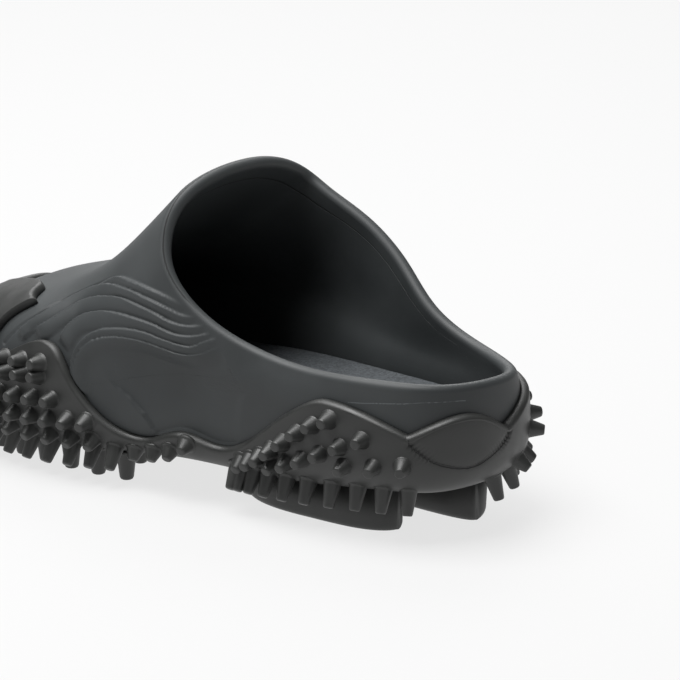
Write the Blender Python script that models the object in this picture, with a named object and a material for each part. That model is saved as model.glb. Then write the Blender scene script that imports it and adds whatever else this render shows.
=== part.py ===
"""Moulded foam mule with a studded rubber cup sole, left shoe.

Frame: +Y to the toe, -X to the wearer's outer (lateral) side, +Z up, ground at z = 0.
The shell is worked out from ribs that fan round the foot: each rib climbs from the edge
of the foot's bottom, over the widest line, to the collar. The tables hold shares of the
named sizes.
"""
import math

import bmesh
import bpy
import numpy as np
from mathutils import Matrix, Vector

# Driving sizes, metres
BODY_LENGTH = 0.272          # heel back to toe tip of the foam shell
BALL_WIDTH = 0.104           # foam shell across the ball
HEEL_WIDTH = 0.070           # foam shell across the heel
LIP_HEIGHT = 0.1128          # top of the collar at the instep, above ground
HEEL_RIM_HEIGHT = 0.052      # collar at the back of the heel, above ground
TOE_BOX_HEIGHT = 0.056       # top of the toe box above ground
GIRTH_HEIGHT = 0.036         # widest line of the shell above ground
SHELL_WALL = 0.005           # foam wall of the upper
FOOT_INSET = 0.006           # bottom edge of the shell inside its widest line
BALL_UNDER = 0.0145          # underside of the shell above ground at the ball
HEEL_UNDER = 0.0220          # underside of the shell above ground at the heel
BALL_SEAT = 0.0235           # seat of the footbed above ground at the ball
HEEL_SEAT = 0.0335           # seat of the footbed above ground at the heel
TOE_SPRING = 0.0060          # rise of the toe over the ball
SIDE_SWELL = 0.65            # how full the wall is between its widest line and the vamp
TOE_SWELL = 0.38             # the same over the toe, which runs out low and flat
FOOTBED = 0.004              # thickness of the removable footbed
FOOTBED_FIT = 0.001          # clearance round the footbed
RUBBER = 0.003               # wall of the rubber cup
TREAD_BASE = 0.0037          # rubber under the shell, without studs
GAP = 0.0003                 # clearance between neighbouring pieces
STUD_BASE = 0.0032           # radius of a side stud where it leaves the rubber
STUD_TIP = 0.0018            # radius of its flat tip
STUD_LENGTH = 0.0056         # height of a side stud
STUD_ROOT = 0.0021           # depth that studs and pads are sunk into the rubber
GROUND_BASE = 0.0037         # radius of a ground stud at the tread
GROUND_TIP = 0.0024          # radius of its flat tip
GROUND_PITCH = 0.0120        # spacing of the ground studs along the edge
GROUND_INSET = 0.0045        # first row of ground studs inside the bottom's edge
GROUND_ROWS = 0.0180         # spacing of the rows of ground studs
GROUND_SPREAD = 0.45         # each row further in stands wider apart by this share
GROUND_LONGEST = 0.0105      # length of a ground stud where the tread stands higher than that
CHANNEL_WIDTH = 0.0130       # open channel between the two heel pads
CHANNEL_SIDE = -0.0055       # middle of that channel across the shoe
PAD_DRAFT = 0.0015           # each heel pad's wall leans in by this on its way down
PAD_CORNER = 0.0060          # rounding of a pad's inner corners in plan
PAD_REAR = 4.0               # how square a pad's rear end is, 2 being round
PAD_FRONT = 2.2              # the same at its front end

AROUND = 80                  # facets round the shoe, a multiple of the ribs
CROWDING = 1.7               # rows of the side wall crowd towards the bottom by this power
STUD_SIDES = 5               # facets round a stud
FINE = 240                   # points of a line that is measured along the bottom's edge
PAD_STATIONS = 10            # facets along a heel pad

# One row for each rib, from the heel round the lateral side to the toe and back.
# side is a share of half the local width and along of BODY_LENGTH. height is a share of
# GIRTH_HEIGHT in the girth's columns and of the local crest in the others, and rise goes
# from the heel rim (0) to the lip (1).
RIB_COLUMNS = ("girth_side", "girth_along", "girth_height", "vamp_side", "vamp_along", "vamp_height",
               "dip_side", "dip_along", "dip_height", "collar_side", "collar_along", "rise")
RIBS = {
    "heel_back":     (0.00, 0.007, 1.05, 0.00, 0.007, 0.86, 0.00, 0.008, 0.93, 0.00, 0.010, 0.02),
    "heel_lat_back": (-0.70, 0.035, 1.05, -0.70, 0.035, 0.86, -0.69, 0.035, 0.93, -0.67, 0.037, 0.05),
    "heel_lat":      (-1.02, 0.125, 1.05, -1.02, 0.125, 0.86, -1.01, 0.125, 0.94, -0.99, 0.121, 0.058),
    "waist_lat":     (-1.03, 0.265, 1.00, -1.06, 0.250, 0.88, -1.04, 0.243, 0.97, -0.99, 0.235, 0.063),
    "mid_lat":       (-1.00, 0.423, 1.00, -1.05, 0.386, 0.95, -1.03, 0.364, 1.04, -0.99, 0.340, 0.19),
    "ball_lat":      (-1.04, 0.610, 0.97, -0.98, 0.537, 1.00, -0.94, 0.480, 1.16, -0.94, 0.415, 0.42),
    "toe_lat":       (-0.96, 0.801, 0.87, -0.74, 0.698, 1.00, -0.67, 0.570, 1.17, -0.81, 0.448, 0.66),
    "toe_lat_tip":   (-0.62, 0.945, 0.78, -0.42, 0.765, 0.99, -0.37, 0.622, 1.15, -0.51, 0.450, 0.92),
    "toe_tip":       (0.08, 1.011, 0.72, 0.03, 0.770, 1.04, 0.06, 0.630, 1.15, 0.17, 0.436, 1.00),
    "toe_med_tip":   (0.65, 0.956, 0.78, 0.44, 0.765, 0.99, 0.44, 0.622, 1.14, 0.69, 0.430, 0.865),
    "toe_med":       (0.90, 0.831, 0.87, 0.72, 0.698, 0.96, 0.69, 0.564, 1.16, 0.84, 0.396, 0.735),
    "ball_med":      (0.94, 0.647, 0.97, 0.90, 0.537, 1.00, 0.91, 0.462, 1.17, 0.97, 0.335, 0.59),
    "mid_med":       (0.87, 0.449, 1.00, 0.98, 0.386, 0.95, 1.02, 0.338, 1.09, 1.03, 0.268, 0.38),
    "waist_med":     (0.91, 0.279, 1.00, 1.01, 0.250, 0.88, 1.02, 0.235, 0.99, 0.98, 0.204, 0.165),
    "heel_med":      (0.95, 0.125, 1.05, 0.96, 0.125, 0.86, 0.96, 0.125, 0.93, 0.94, 0.121, 0.02),
    "heel_med_back": (0.67, 0.035, 1.05, 0.67, 0.035, 0.86, 0.66, 0.035, 0.93, 0.64, 0.037, -0.005),
}
RIB_COUNT = len(RIBS)

# Heights along the shoe, by share of BODY_LENGTH. under and seat go from the ball's
# height (0) to the heel's (1), and spring is a share of TOE_SPRING on top of both.
# tuck is the share of FOOT_INSET that the bottom's edge stands in from the widest line.
SOLE_COLUMNS = ("along", "under", "seat", "spring", "tuck")
SOLE_LINE = (
    (-0.01, 0.97, 1.00, 0.0, 1.0),
    (0.06, 1.00, 1.00, 0.0, 1.0),
    (0.15, 0.86, 1.00, 0.0, 1.0),
    (0.24, 0.47, 0.99, 0.0, 1.0),
    (0.31, 0.44, 0.95, 0.0, 1.0),
    (0.37, 0.93, 0.86, 0.0, 1.0),
    (0.45, 0.21, 0.66, 0.0, 1.0),
    (0.52, 0.00, 0.40, 0.0, 1.0),
    (0.62, 0.00, 0.12, 0.0, 1.0),
    (0.75, 0.00, 0.00, 0.0, 1.1),
    (0.88, 0.00, 0.00, 0.3, 1.5),
    (1.02, 0.00, 0.00, 1.0, 2.2),
)

# Top edge of the rubber: rib position, height as a share of the local crest, and whether
# the wave turns there in a sharp valley. The two sharp ones bound the almond panel.
WAVE_COLUMNS = ("rib", "height", "sharp")
WAVE = (
    (0.60, 0.905, False),
    (1.34, 0.785, True),
    (2.38, 0.940, False),
    (3.48, 0.435, False),
    (3.80, 0.480, False),
    (4.20, 0.375, False),
    (5.20, 0.885, False),
    (5.55, 0.700, False),
    (5.95, 1.030, False),
    (6.55, 1.060, False),
    (8.20, 0.800, False),
    (10.00, 0.610, False),
    (10.80, 0.885, False),
    (11.80, 0.375, False),
    (12.20, 0.480, False),
    (12.55, 0.435, False),
    (14.30, 0.945, False),
    (15.88, 0.750, True),
)

# Rows of side studs: rib and share up the rib of the first and the last stud, how many
# stand between them, and their length as a share of STUD_LENGTH. closing is the share by
# which they close up along the row, and down the share of straight down in their axis.
STUD_COLUMNS = ("first_rib", "first_up", "last_rib", "last_up", "studs", "length",
                "closing", "down")
STUDS = {
    "heel_lat_crest": (2.27, 0.455, 3.23, 0.065, 8, 1.0, 0.35, 0.0),
    "heel_lat_upper": (1.88, 0.250, 2.90, 0.080, 6, 1.0, 0.30, 0.0),
    "heel_lat_lower": (1.40, 0.131, 2.10, 0.110, 3, 1.0, 0.0, 0.0),
    "heel_lat_edge": (1.37, 0.006, 3.32, 0.030, 10, 1.6, 0.80, 0.25),
    "heel_med_crest": (13.73, 0.455, 12.85, 0.065, 7, 1.0, 0.35, 0.0),
    "heel_med_upper": (14.12, 0.250, 13.10, 0.080, 6, 1.0, 0.30, 0.0),
    "heel_med_back": (15.10, 0.150, 14.50, 0.240, 3, 1.0, 0.0, 0.0),
    "heel_med_lower": (15.45, 0.060, 14.75, 0.060, 3, 1.0, 0.0, 0.0),
    "heel_med_edge": (15.83, 0.006, 12.70, 0.030, 9, 1.6, 0.50, 0.25),
    "ball_lat_crest": (5.40, 0.280, 5.07, 0.305, 3, 1.0, 0.0, 0.0),
    "ball_lat_second": (5.46, 0.225, 5.03, 0.250, 4, 1.0, 0.0, 0.0),
    "ball_lat_third": (5.50, 0.155, 4.88, 0.170, 5, 1.0, 0.0, 0.0),
    "ball_lat_fourth": (5.50, 0.100, 4.59, 0.112, 7, 1.0, 0.0, 0.0),
    "ball_lat_fifth": (5.42, 0.060, 4.57, 0.052, 6, 1.0, 0.0, 0.0),
    "ball_lat_edge": (5.48, 0.008, 4.44, 0.015, 7, 1.6, 0.0, 0.0),
    "arch_lat": (4.28, 0.012, 3.76, 0.080, 4, 0.8, 0.0, 0.0),
    "ball_med_crest": (10.60, 0.280, 10.93, 0.305, 3, 1.0, 0.0, 0.0),
    "ball_med_second": (10.54, 0.225, 10.97, 0.250, 4, 1.0, 0.0, 0.0),
    "ball_med_third": (10.50, 0.155, 11.12, 0.170, 5, 1.0, 0.0, 0.0),
    "ball_med_fourth": (10.50, 0.100, 11.41, 0.112, 7, 1.0, 0.0, 0.0),
    "ball_med_fifth": (10.58, 0.060, 11.43, 0.052, 6, 1.0, 0.0, 0.0),
    "ball_med_edge": (10.52, 0.008, 11.56, 0.015, 7, 1.6, 0.0, 0.0),
    "arch_med": (11.72, 0.012, 12.24, 0.080, 4, 0.8, 0.0, 0.0),
    "toe_crest": (6.00, 0.310, 8.05, 0.270, 5, 1.0, 0.0, 0.0),
    "toe_upper": (5.80, 0.190, 10.20, 0.130, 10, 1.0, 0.0, 0.0),
    "toe_lower": (5.66, 0.080, 10.34, 0.080, 11, 1.0, 0.0, 0.0),
}

# Ground studs: ribs where each row starts and ends round the forefoot.
GROUND_COLUMNS = ("first_rib", "last_rib")
GROUND_STUDS = {
    "outer": (4.45, 11.55),
    "middle": (4.57, 11.43),
    "inner": (4.69, 11.31),
}

# Heel pads: first and last place along the shoe as shares of BODY_LENGTH, and the side
# of the channel that each stands on.
PAD_COLUMNS = ("first", "last", "side")
PADS = {
    "lateral": (0.110, 0.355, -1),
    "medial": (0.055, 0.360, 1),
}


def row_values(table, column, columns):
    """One named column of a table as an array."""
    place = columns.index(column)
    return np.array([row[place] for row in table], dtype=float)


def from_heel_to_ball(along, heel, ball):
    """Blend a size of the heel into one of the ball, by share of BODY_LENGTH."""
    blend = np.clip((along - 0.15) / 0.45, 0, 1)
    return heel + (ball - heel) * blend * blend * (3 - 2 * blend)


def half_width(along):
    """Half the local width of the shell."""
    return from_heel_to_ball(along, HEEL_WIDTH, BALL_WIDTH) / 2


def crest_height(along):
    """Height that the side wall's rows are shares of: the heel rim's, then the toe box's."""
    return from_heel_to_ball(along, HEEL_RIM_HEIGHT, TOE_BOX_HEIGHT)


def sole_height(y, column, ball, heel):
    """Smooth line of heights through one column of the sole's table."""
    stations = row_values(SOLE_LINE, "along", SOLE_COLUMNS) * BODY_LENGTH
    heights = (ball + (heel - ball) * row_values(SOLE_LINE, column, SOLE_COLUMNS)
               + TOE_SPRING * row_values(SOLE_LINE, "spring", SOLE_COLUMNS))
    slopes = np.gradient(heights, stations)
    y = np.clip(y, stations[0], stations[-1])
    span = np.clip(np.searchsorted(stations, y, side="right") - 1, 0, len(stations) - 2)
    width = stations[span + 1] - stations[span]
    s = (y - stations[span]) / width
    return (heights[span] * (1 + 2 * s) * (1 - s) ** 2 + heights[span + 1] * s * s * (3 - 2 * s)
            + width * (slopes[span] * s * (1 - s) ** 2 - slopes[span + 1] * s * s * (1 - s)))


def underside(y):
    """Height of the shell's underside."""
    return sole_height(y, "under", BALL_UNDER, HEEL_UNDER)


def seat(y):
    """Height of the footbed's seat inside the shell."""
    return sole_height(y, "seat", BALL_SEAT, HEEL_SEAT)


def tuck(y):
    """Share of FOOT_INSET that the bottom's edge stands in."""
    return np.interp(y, row_values(SOLE_LINE, "along", SOLE_COLUMNS) * BODY_LENGTH,
                     row_values(SOLE_LINE, "tuck", SOLE_COLUMNS))


TOE_SPINE = 0.38             # the toe's ribs fan round a point this share of the ball's width back
LOW_LINE = 0.15              # height of the low line between the bottom's edge and the widest line


def rib_controls():
    """Control rings of the shell, from the foot's edge to the collar, one row for each rib."""
    table = np.array(list(RIBS.values()), dtype=float)
    column = {name: table[:, place] for place, name in enumerate(RIB_COLUMNS)}

    def ring(line, height):
        along = column[line + "_along"]
        return np.stack([column[line + "_side"] * half_width(along),
                         along * BODY_LENGTH, height], axis=1)

    rim = HEEL_RIM_HEIGHT + column["rise"] * (LIP_HEIGHT - HEEL_RIM_HEIGHT)
    girth = ring("girth", column["girth_height"] * GIRTH_HEIGHT)
    vamp = ring("vamp", column["vamp_height"] * crest_height(column["vamp_along"]))
    dip = ring("dip", column["dip_height"] * crest_height(column["dip_along"]))
    collar = ring("collar", rim)

    spine = np.zeros_like(girth)
    spine[:, 1] = np.clip(girth[:, 1], HEEL_WIDTH / 2, BODY_LENGTH - BALL_WIDTH * TOE_SPINE)
    outward = girth - spine
    outward[:, 2] = 0
    outward /= np.linalg.norm(outward, axis=1)[:, None]
    foot = girth - outward * (FOOT_INSET * tuck(girth[:, 1]))[:, None]
    foot[:, 2] = underside(foot[:, 1])
    low = girth.copy()
    low[:, 2] = foot[:, 2] + LOW_LINE * (girth[:, 2] - foot[:, 2])
    shoulder = (girth + vamp) / 2
    swell = SIDE_SWELL + (TOE_SWELL - SIDE_SWELL) * np.clip(outward[:, 1], 0, 1)
    shoulder[:, 2] = girth[:, 2] + swell * (vamp[:, 2] - girth[:, 2])
    throat = (dip + collar) / 2
    return [foot, low, girth, shoulder, vamp, dip, throat, collar]


def periodic_spline(rows):
    """Values and second derivatives of the closed cubic spline through the rows."""
    count = len(rows)
    matrix = np.zeros((count, count))
    for i in range(count):
        matrix[i, i] = 4
        matrix[i, (i - 1) % count] = 1
        matrix[i, (i + 1) % count] = 1
    bends = np.linalg.solve(matrix, 6 * (np.roll(rows, -1, 0) - 2 * rows + np.roll(rows, 1, 0)))
    return rows, bends


RINGS = [periodic_spline(ring) for ring in rib_controls()]


def on_ring(spline, rib):
    """Point of a closed spline at a rib position, 0 at the heel, 8 at the toe tip."""
    rows, bends = spline
    i = np.floor(rib).astype(int) % RIB_COUNT
    j = (i + 1) % RIB_COUNT
    b = (rib - np.floor(rib))[:, None]
    a = 1 - b
    return a * rows[i] + b * rows[j] + ((a ** 3 - a) * bends[i] + (b ** 3 - b) * bends[j]) / 6


def clamped_basis(count, share, degree=3):
    """Weights of the control rings at each share of the way up a rib."""
    knots = np.concatenate([np.zeros(degree), np.linspace(0, 1, count - degree + 1), np.ones(degree)])
    share = np.clip(share, 0, 1 - 1e-9)
    weights = [((knots[i] <= share) & (share < knots[i + 1])).astype(float)
               for i in range(len(knots) - 1)]
    for d in range(1, degree + 1):
        raised = []
        for i in range(len(weights) - 1):
            term = np.zeros_like(share)
            if knots[i + d] > knots[i]:
                term += (share - knots[i]) / (knots[i + d] - knots[i]) * weights[i]
            if knots[i + d + 1] > knots[i + 1]:
                term += (knots[i + d + 1] - share) / (knots[i + d + 1] - knots[i + 1]) * weights[i + 1]
            raised.append(term)
        weights = raised
    return np.stack(weights, axis=1)


def shell_point(rib, share):
    """Outer surface of the shell."""
    rib, share = np.broadcast_arrays(np.atleast_1d(rib).astype(float), np.atleast_1d(share).astype(float))
    rings = np.stack([on_ring(spline, rib) for spline in RINGS], axis=1)
    return np.einsum("nck,nc->nk", rings, clamped_basis(len(RINGS), share))


def shell_normal(rib, share):
    """Outward normal and upward tangent of the shell's outer surface."""
    rib, share = np.broadcast_arrays(np.atleast_1d(rib).astype(float), np.atleast_1d(share).astype(float))
    step = 1e-3
    low, high = np.clip(share - step, 0, 1), np.clip(share + step, 0, 1)
    along = shell_point(rib + step, share) - shell_point(rib - step, share)
    up = shell_point(rib, high) - shell_point(rib, low)
    up /= np.linalg.norm(up, axis=1)[:, None]
    normal = np.cross(up, along)
    normal /= np.linalg.norm(normal, axis=1)[:, None]
    return normal, up


def shell_offset(rib, share, distance):
    """Point at a distance out from the shell's outer surface."""
    normal, _ = shell_normal(rib, share)
    return shell_point(rib, share) + normal * np.reshape(distance, (-1, 1))


def share_at_height(rib, height, inset):
    """Share up each rib where the shell's wall, moved in by inset, reaches a height above y."""
    low, high = np.full(len(rib), 0.0), np.full(len(rib), 0.95)
    for _ in range(30):
        middle = (low + high) / 2
        point = shell_offset(rib, middle, np.full(len(rib), -inset))
        above = point[:, 2] > height(point[:, 1])
        high = np.where(above, middle, high)
        low = np.where(above, low, middle)
    return (low + high) / 2


def share_of(rib, share, distance):
    """Share of a rib that covers a distance along the shell near a point."""
    step = 1e-3
    run = shell_point(rib, np.clip(share + step, 0, 1)) - shell_point(rib, np.clip(share - step, 0, 1))
    return distance * 2 * step / np.linalg.norm(run, axis=1)


def wave_share(rib):
    """Share up each rib at the rubber's top edge: round crests, sharp valleys where named."""
    stations = row_values(WAVE, "rib", WAVE_COLUMNS)
    heights = row_values(WAVE, "height", WAVE_COLUMNS)
    sharp = row_values(WAVE, "sharp", WAVE_COLUMNS) > 0
    rib = np.mod(rib - stations[0], RIB_COUNT) + stations[0]
    start = np.searchsorted(stations, rib, side="right") - 1
    end = (start + 1) % len(stations)
    width = np.mod(stations[end] - stations[start], RIB_COUNT)
    s = (rib - stations[start]) / width
    ease = np.where(sharp[start],
                    np.where(sharp[end], s, np.sin(s * math.pi / 2)),
                    np.where(sharp[end], 1 - np.cos(s * math.pi / 2), (1 - np.cos(s * math.pi)) / 2))
    height = heights[start] + (heights[end] - heights[start]) * ease
    return share_at_height(rib, lambda y: height * crest_height(y / BODY_LENGTH), -GAP)


def add_sheet(bm, around, rows, place):
    """Add a grid to bm and move its points: place(u, v) takes shares from 0 to 1 each way."""
    made = bmesh.ops.create_grid(bm, x_segments=around, y_segments=rows, size=0.5)["verts"]
    flat = np.array([vert.co for vert in made])
    points = place(flat[:, 0] + 0.5, flat[:, 1] + 0.5)
    for vert, point in zip(made, points):
        vert.co = point
    faces = list({face for vert in made for face in vert.link_faces})
    faces.sort(key=lambda face: face.index)
    bmesh.ops.triangulate(bm, faces=faces, quad_method="FIXED")


def lid(ring, height):
    """Shape of a lid that joins the two sides of a ring across the foot: place(u, v)."""
    def place(u, v):
        lateral = ring(u * RIB_COUNT / 2)
        medial = ring(RIB_COUNT - u * RIB_COUNT / 2)
        point = lateral + (medial - lateral) * v[:, None]
        inside = (v > 1e-6) & (v < 1 - 1e-6) & (u > 1e-6) & (u < 1 - 1e-6)
        point[inside, 2] = height(point[inside, 1])
        return point
    return place


def material(name, colour, roughness):
    """Plain Principled material, colour as sRGB hex."""
    made = bpy.data.materials.new(name)
    made.use_nodes = True
    linear = [((channel / 255) ** 2.2) for channel in bytes.fromhex(colour)]
    shader = made.node_tree.nodes["Principled BSDF"]
    shader.inputs["Base Color"].default_value = (*linear, 1)
    shader.inputs["Roughness"].default_value = roughness
    shader.inputs["Metallic"].default_value = 0
    made.diffuse_color = (*linear, 1)
    return made


def finish_object(bm, name, finish):
    """Close the seams, turn faces outward and link the object."""
    bmesh.ops.remove_doubles(bm, verts=bm.verts, dist=1e-6)
    bmesh.ops.dissolve_degenerate(bm, edges=bm.edges, dist=1e-7)
    bmesh.ops.recalc_face_normals(bm, faces=bm.faces)
    mesh = bpy.data.meshes.new(name)
    bm.to_mesh(mesh)
    bm.free()
    mesh.materials.append(finish)
    mesh.shade_smooth()
    mesh.set_sharp_from_angle(angle=math.radians(35))
    made = bpy.data.objects.new(name, mesh)
    bpy.context.scene.collection.objects.link(made)
    return made


LID_ROWS = 3
CUP_ROWS = 4
WALL_ROWS = 6
RIM_ROWS = 3
INNER_ROWS = 3
EDGE_ROWS = 2
EDGE_SLOPE = 0.6             # height of the rubber's rounded top edge, as a share of its wall
EDGE_STEP = 0.45             # its wall halfway round that edge, as a share


def cup_climb(row):
    """Share of the way up the rubber's wall at a row, closer together where it curves under."""
    return np.clip(row / CUP_ROWS, 0, 1) ** CROWDING


def upper_profile(rib, v):
    """Point round the shell's wall: v climbs the outside, turns over the rim, goes down inside."""
    row = np.rint(v * (CUP_ROWS + WALL_ROWS + RIM_ROWS + INNER_ROWS))
    edge = wave_share(rib)
    in_cup = cup_climb(row)
    above_cup = np.clip((row - CUP_ROWS) / WALL_ROWS, 0, 1)
    turn = np.clip((row - CUP_ROWS - WALL_ROWS) / RIM_ROWS, 0, 1) * math.pi
    down = 1 - (1 - np.clip((row - CUP_ROWS - WALL_ROWS - RIM_ROWS) / INNER_ROWS, 0, 1)) ** CROWDING
    share = edge * in_cup + (1 - edge) * above_cup - down * (1 - share_at_height(rib, seat, SHELL_WALL))
    normal, up = shell_normal(rib, share)
    radius = SHELL_WALL / 2
    across = normal * ((np.cos(turn) - 1) * radius)[:, None]
    return shell_point(rib, share) + across + up * (np.sin(turn) * radius)[:, None]


def make_upper():
    """Foam shell: wall, rim, seat of the footbed and underside, one closed skin."""
    bm = bmesh.new()
    rows = CUP_ROWS + WALL_ROWS + RIM_ROWS + INNER_ROWS
    add_sheet(bm, AROUND, rows, lambda u, v: upper_profile(u * RIB_COUNT, v))
    add_sheet(bm, AROUND // 2, LID_ROWS,
              lid(lambda rib: upper_profile(rib, np.zeros(len(rib))), underside))
    add_sheet(bm, AROUND // 2, LID_ROWS,
              lid(lambda rib: upper_profile(rib, np.ones(len(rib))), seat))
    return finish_object(bm, "upper", material("moulded_foam", "3d403f", 0.6))


def outsole_profile(rib, v):
    """Point round the rubber cup's wall: v climbs inside, turns over the edge, goes down outside."""
    row = np.rint(v * (2 * CUP_ROWS + EDGE_ROWS))
    edge = wave_share(rib)
    bevel = share_of(rib, edge, RUBBER * EDGE_SLOPE)
    climb = cup_climb(row)
    down = np.clip((row - CUP_ROWS - EDGE_ROWS) / CUP_ROWS, 0, 1)
    share = np.where(row <= CUP_ROWS + 1, climb * edge,
                     (edge - bevel) * cup_climb(2 * CUP_ROWS + EDGE_ROWS - row))
    wall = np.where(row <= CUP_ROWS, 0, np.where(row == CUP_ROWS + 1, RUBBER * EDGE_STEP, RUBBER))
    wall = np.where(down > 0, RUBBER + (TREAD_BASE - RUBBER) * down, wall)
    return shell_offset(rib, share, GAP + wall)


def foot_edge(rib, inset):
    """Point on the bottom's edge, moved in by a distance in plan."""
    step = 1e-2
    run = shell_point(rib + step, 0) - shell_point(rib - step, 0)
    inward = np.stack([run[:, 1], -run[:, 0]], axis=1)
    inward /= np.linalg.norm(inward, axis=1)[:, None]
    point = shell_point(rib, 0)
    point[:, :2] += inward * inset
    return point


def add_stud(bm, base, axis, length, wide, narrow):
    """One tapered stud that stands on base along axis, its root sunk in the rubber."""
    middle = base + axis * (length - STUD_ROOT) / 2
    place = Matrix.Translation(middle) @ axis.to_track_quat("Z", "Y").to_matrix().to_4x4()
    bmesh.ops.create_cone(bm, cap_ends=True, segments=STUD_SIDES, radius1=wide, radius2=narrow,
                          depth=length + STUD_ROOT, matrix=place)


def add_side_studs(bm):
    """Studs of the cup's side, in rows along the ribs; up goes in equal ratios."""
    for first_rib, first_up, last_rib, last_up, studs, length, closing, down in STUDS.values():
        step = np.linspace(0, 1, studs)
        step *= 1 + closing - closing * step
        rib = first_rib + (last_rib - first_rib) * step
        up = first_up * (last_up / first_up) ** step
        base = shell_offset(rib, up, np.full(studs, GAP + RUBBER))
        axes, _ = shell_normal(rib, up)
        axes[:, 2] -= down
        axes /= np.linalg.norm(axes, axis=1)[:, None]
        for point, axis in zip(base, axes):
            add_stud(bm, Vector(point), Vector(axis), length * STUD_LENGTH, STUD_BASE, STUD_TIP)


def add_ground_studs(bm):
    """Studs under the forefoot, in rows that follow the bottom's edge round the toe."""
    for row, (first_rib, last_rib) in enumerate(GROUND_STUDS.values()):
        inset = GROUND_INSET + row * GROUND_ROWS
        fine = foot_edge(np.linspace(first_rib, last_rib, FINE), inset)
        run = np.concatenate([[0], np.cumsum(np.linalg.norm(np.diff(fine[:, :2], axis=0), axis=1))])
        studs = round(run[-1] / (GROUND_PITCH * (1 + GROUND_SPREAD * row))) + 1
        stops = np.linspace(0, run[-1], studs)
        for x, y in zip(np.interp(stops, run, fine[:, 0]), np.interp(stops, run, fine[:, 1])):
            tread = float(underside(y)) - GAP - TREAD_BASE
            tip = max(0.0, tread - GROUND_LONGEST)
            add_stud(bm, Vector((x, y, tread)), Vector((0, 0, -1)), tread - tip, GROUND_BASE, GROUND_TIP)


def add_pad(bm, first, last, side):
    """Heel pad: follows the bottom's edge outside and the channel inside, rounded ends."""
    ring = foot_edge(np.linspace(0, RIB_COUNT / 2, FINE) * -side, 0.0)
    ring = ring[np.argsort(ring[:, 1])]

    def place(u, v):
        run = -np.cos(u * math.pi)
        y = (first + (last - first) * (run + 1) / 2) * BODY_LENGTH
        square = np.where(run < 0, PAD_REAR, PAD_FRONT)
        full = np.clip(1 - np.abs(run) ** square, 0, 1) ** (1 / square)
        row = np.rint(v * 4) % 4
        inner = CHANNEL_SIDE + side * (CHANNEL_WIDTH / 2 + PAD_CORNER * (1 - full))
        outer = inner + (np.interp(y, ring[:, 1], ring[:, 0]) - side * PAD_DRAFT - inner) * full
        top = (row == 1) | (row == 2)
        x = np.where(row < 2, outer, inner) + np.where(row == 1, side * PAD_DRAFT * full, 0)
        z = np.where(top, underside(y) - GAP - TREAD_BASE + STUD_ROOT, 0)
        return np.stack([x, y, z], axis=1)

    add_sheet(bm, PAD_STATIONS, 4, place)


def join_to(body, name, fill):
    """Union of the body with a hidden operand made by fill(bm)."""
    bm = bmesh.new()
    fill(bm)
    operand = finish_object(bm, name, body.data.materials[0])
    operand.hide_render = True
    operand.display_type = "WIRE"
    union = body.modifiers.new(name, "BOOLEAN")
    union.operation = "UNION"
    union.solver = "EXACT"
    union.use_self = True
    union.object = operand


def make_outsole():
    """Rubber cup with its wave edge."""
    bm = bmesh.new()
    rows = 2 * CUP_ROWS + EDGE_ROWS
    add_sheet(bm, AROUND, rows, lambda u, v: outsole_profile(u * RIB_COUNT, v))
    add_sheet(bm, AROUND // 2, LID_ROWS,
              lid(lambda rib: outsole_profile(rib, np.zeros(len(rib))), lambda y: underside(y) - GAP))
    add_sheet(bm, AROUND // 2, LID_ROWS,
              lid(lambda rib: outsole_profile(rib, np.ones(len(rib))),
                  lambda y: underside(y) - GAP - TREAD_BASE))
    outsole = finish_object(bm, "outsole", material("moulded_rubber", "3a3a38", 0.55))
    for name, row in PADS.items():
        join_to(outsole, "heel_pad_" + name, lambda bm, row=row: add_pad(bm, *row))
    join_to(outsole, "side_studs", add_side_studs)
    join_to(outsole, "ground_studs", add_ground_studs)
    return outsole


def make_insole():
    """Removable footbed that fills the seat, with a clearance all round."""
    def edge(rib, share):
        """Edge of the footbed: share 0 at its underside, 1 at its top."""
        height = GAP + share * FOOTBED
        low = share_at_height(rib, lambda y: seat(y) + GAP, SHELL_WALL + FOOTBED_FIT)
        high = share_at_height(rib, lambda y: seat(y) + GAP + FOOTBED, SHELL_WALL + FOOTBED_FIT)
        up_rib = low + (high - low) * share
        point = shell_offset(rib, up_rib, np.full(len(rib), -SHELL_WALL - FOOTBED_FIT))
        point[:, 2] = seat(point[:, 1]) + height
        return point

    bm = bmesh.new()
    add_sheet(bm, AROUND, 2, lambda u, v: edge(u * RIB_COUNT, v))
    add_sheet(bm, AROUND // 2, LID_ROWS,
              lid(lambda rib: edge(rib, np.zeros(len(rib))), lambda y: seat(y) + GAP))
    add_sheet(bm, AROUND // 2, LID_ROWS,
              lid(lambda rib: edge(rib, np.ones(len(rib))), lambda y: seat(y) + GAP + FOOTBED))
    return finish_object(bm, "insole", material("footbed_foam", "55585a", 0.8))


def centre_over_origin():
    """Move every mesh so that the shoe's box stands centred on the origin."""
    corners = np.array([vert.co for made in bpy.data.objects for vert in made.data.vertices])
    middle = (corners.min(0) + corners.max(0)) / 2
    for made in bpy.data.objects:
        made.data.transform(Matrix.Translation((-middle[0], -middle[1], 0)))


def main():
    """Clear the scene and build the shoe."""
    for old in list(bpy.data.objects):
        bpy.data.objects.remove(old)
    make_upper()
    make_outsole()
    make_insole()
    centre_over_origin()


main()
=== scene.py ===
# %% [markdown]
# # A moulded foam mule with a studded rubber cup sole
#
# The shoe is a left one: a shell of EVA foam, a rubber cup glued round its lower half, and
# a loose footbed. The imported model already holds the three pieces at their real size. This
# file makes the pieces that the eye sees: the same forms with many more faces, the rolls
# and creases of the mould, round edges, and the finish of foam and rubber.
#
# Everything is in metres, with the toe towards +Y, the outer side of the foot towards -X
# and the ground at z = 0.

# %% Load the frame
import math

import bmesh
import bpy
import numpy as np
from mathutils import Matrix, Vector


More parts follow.
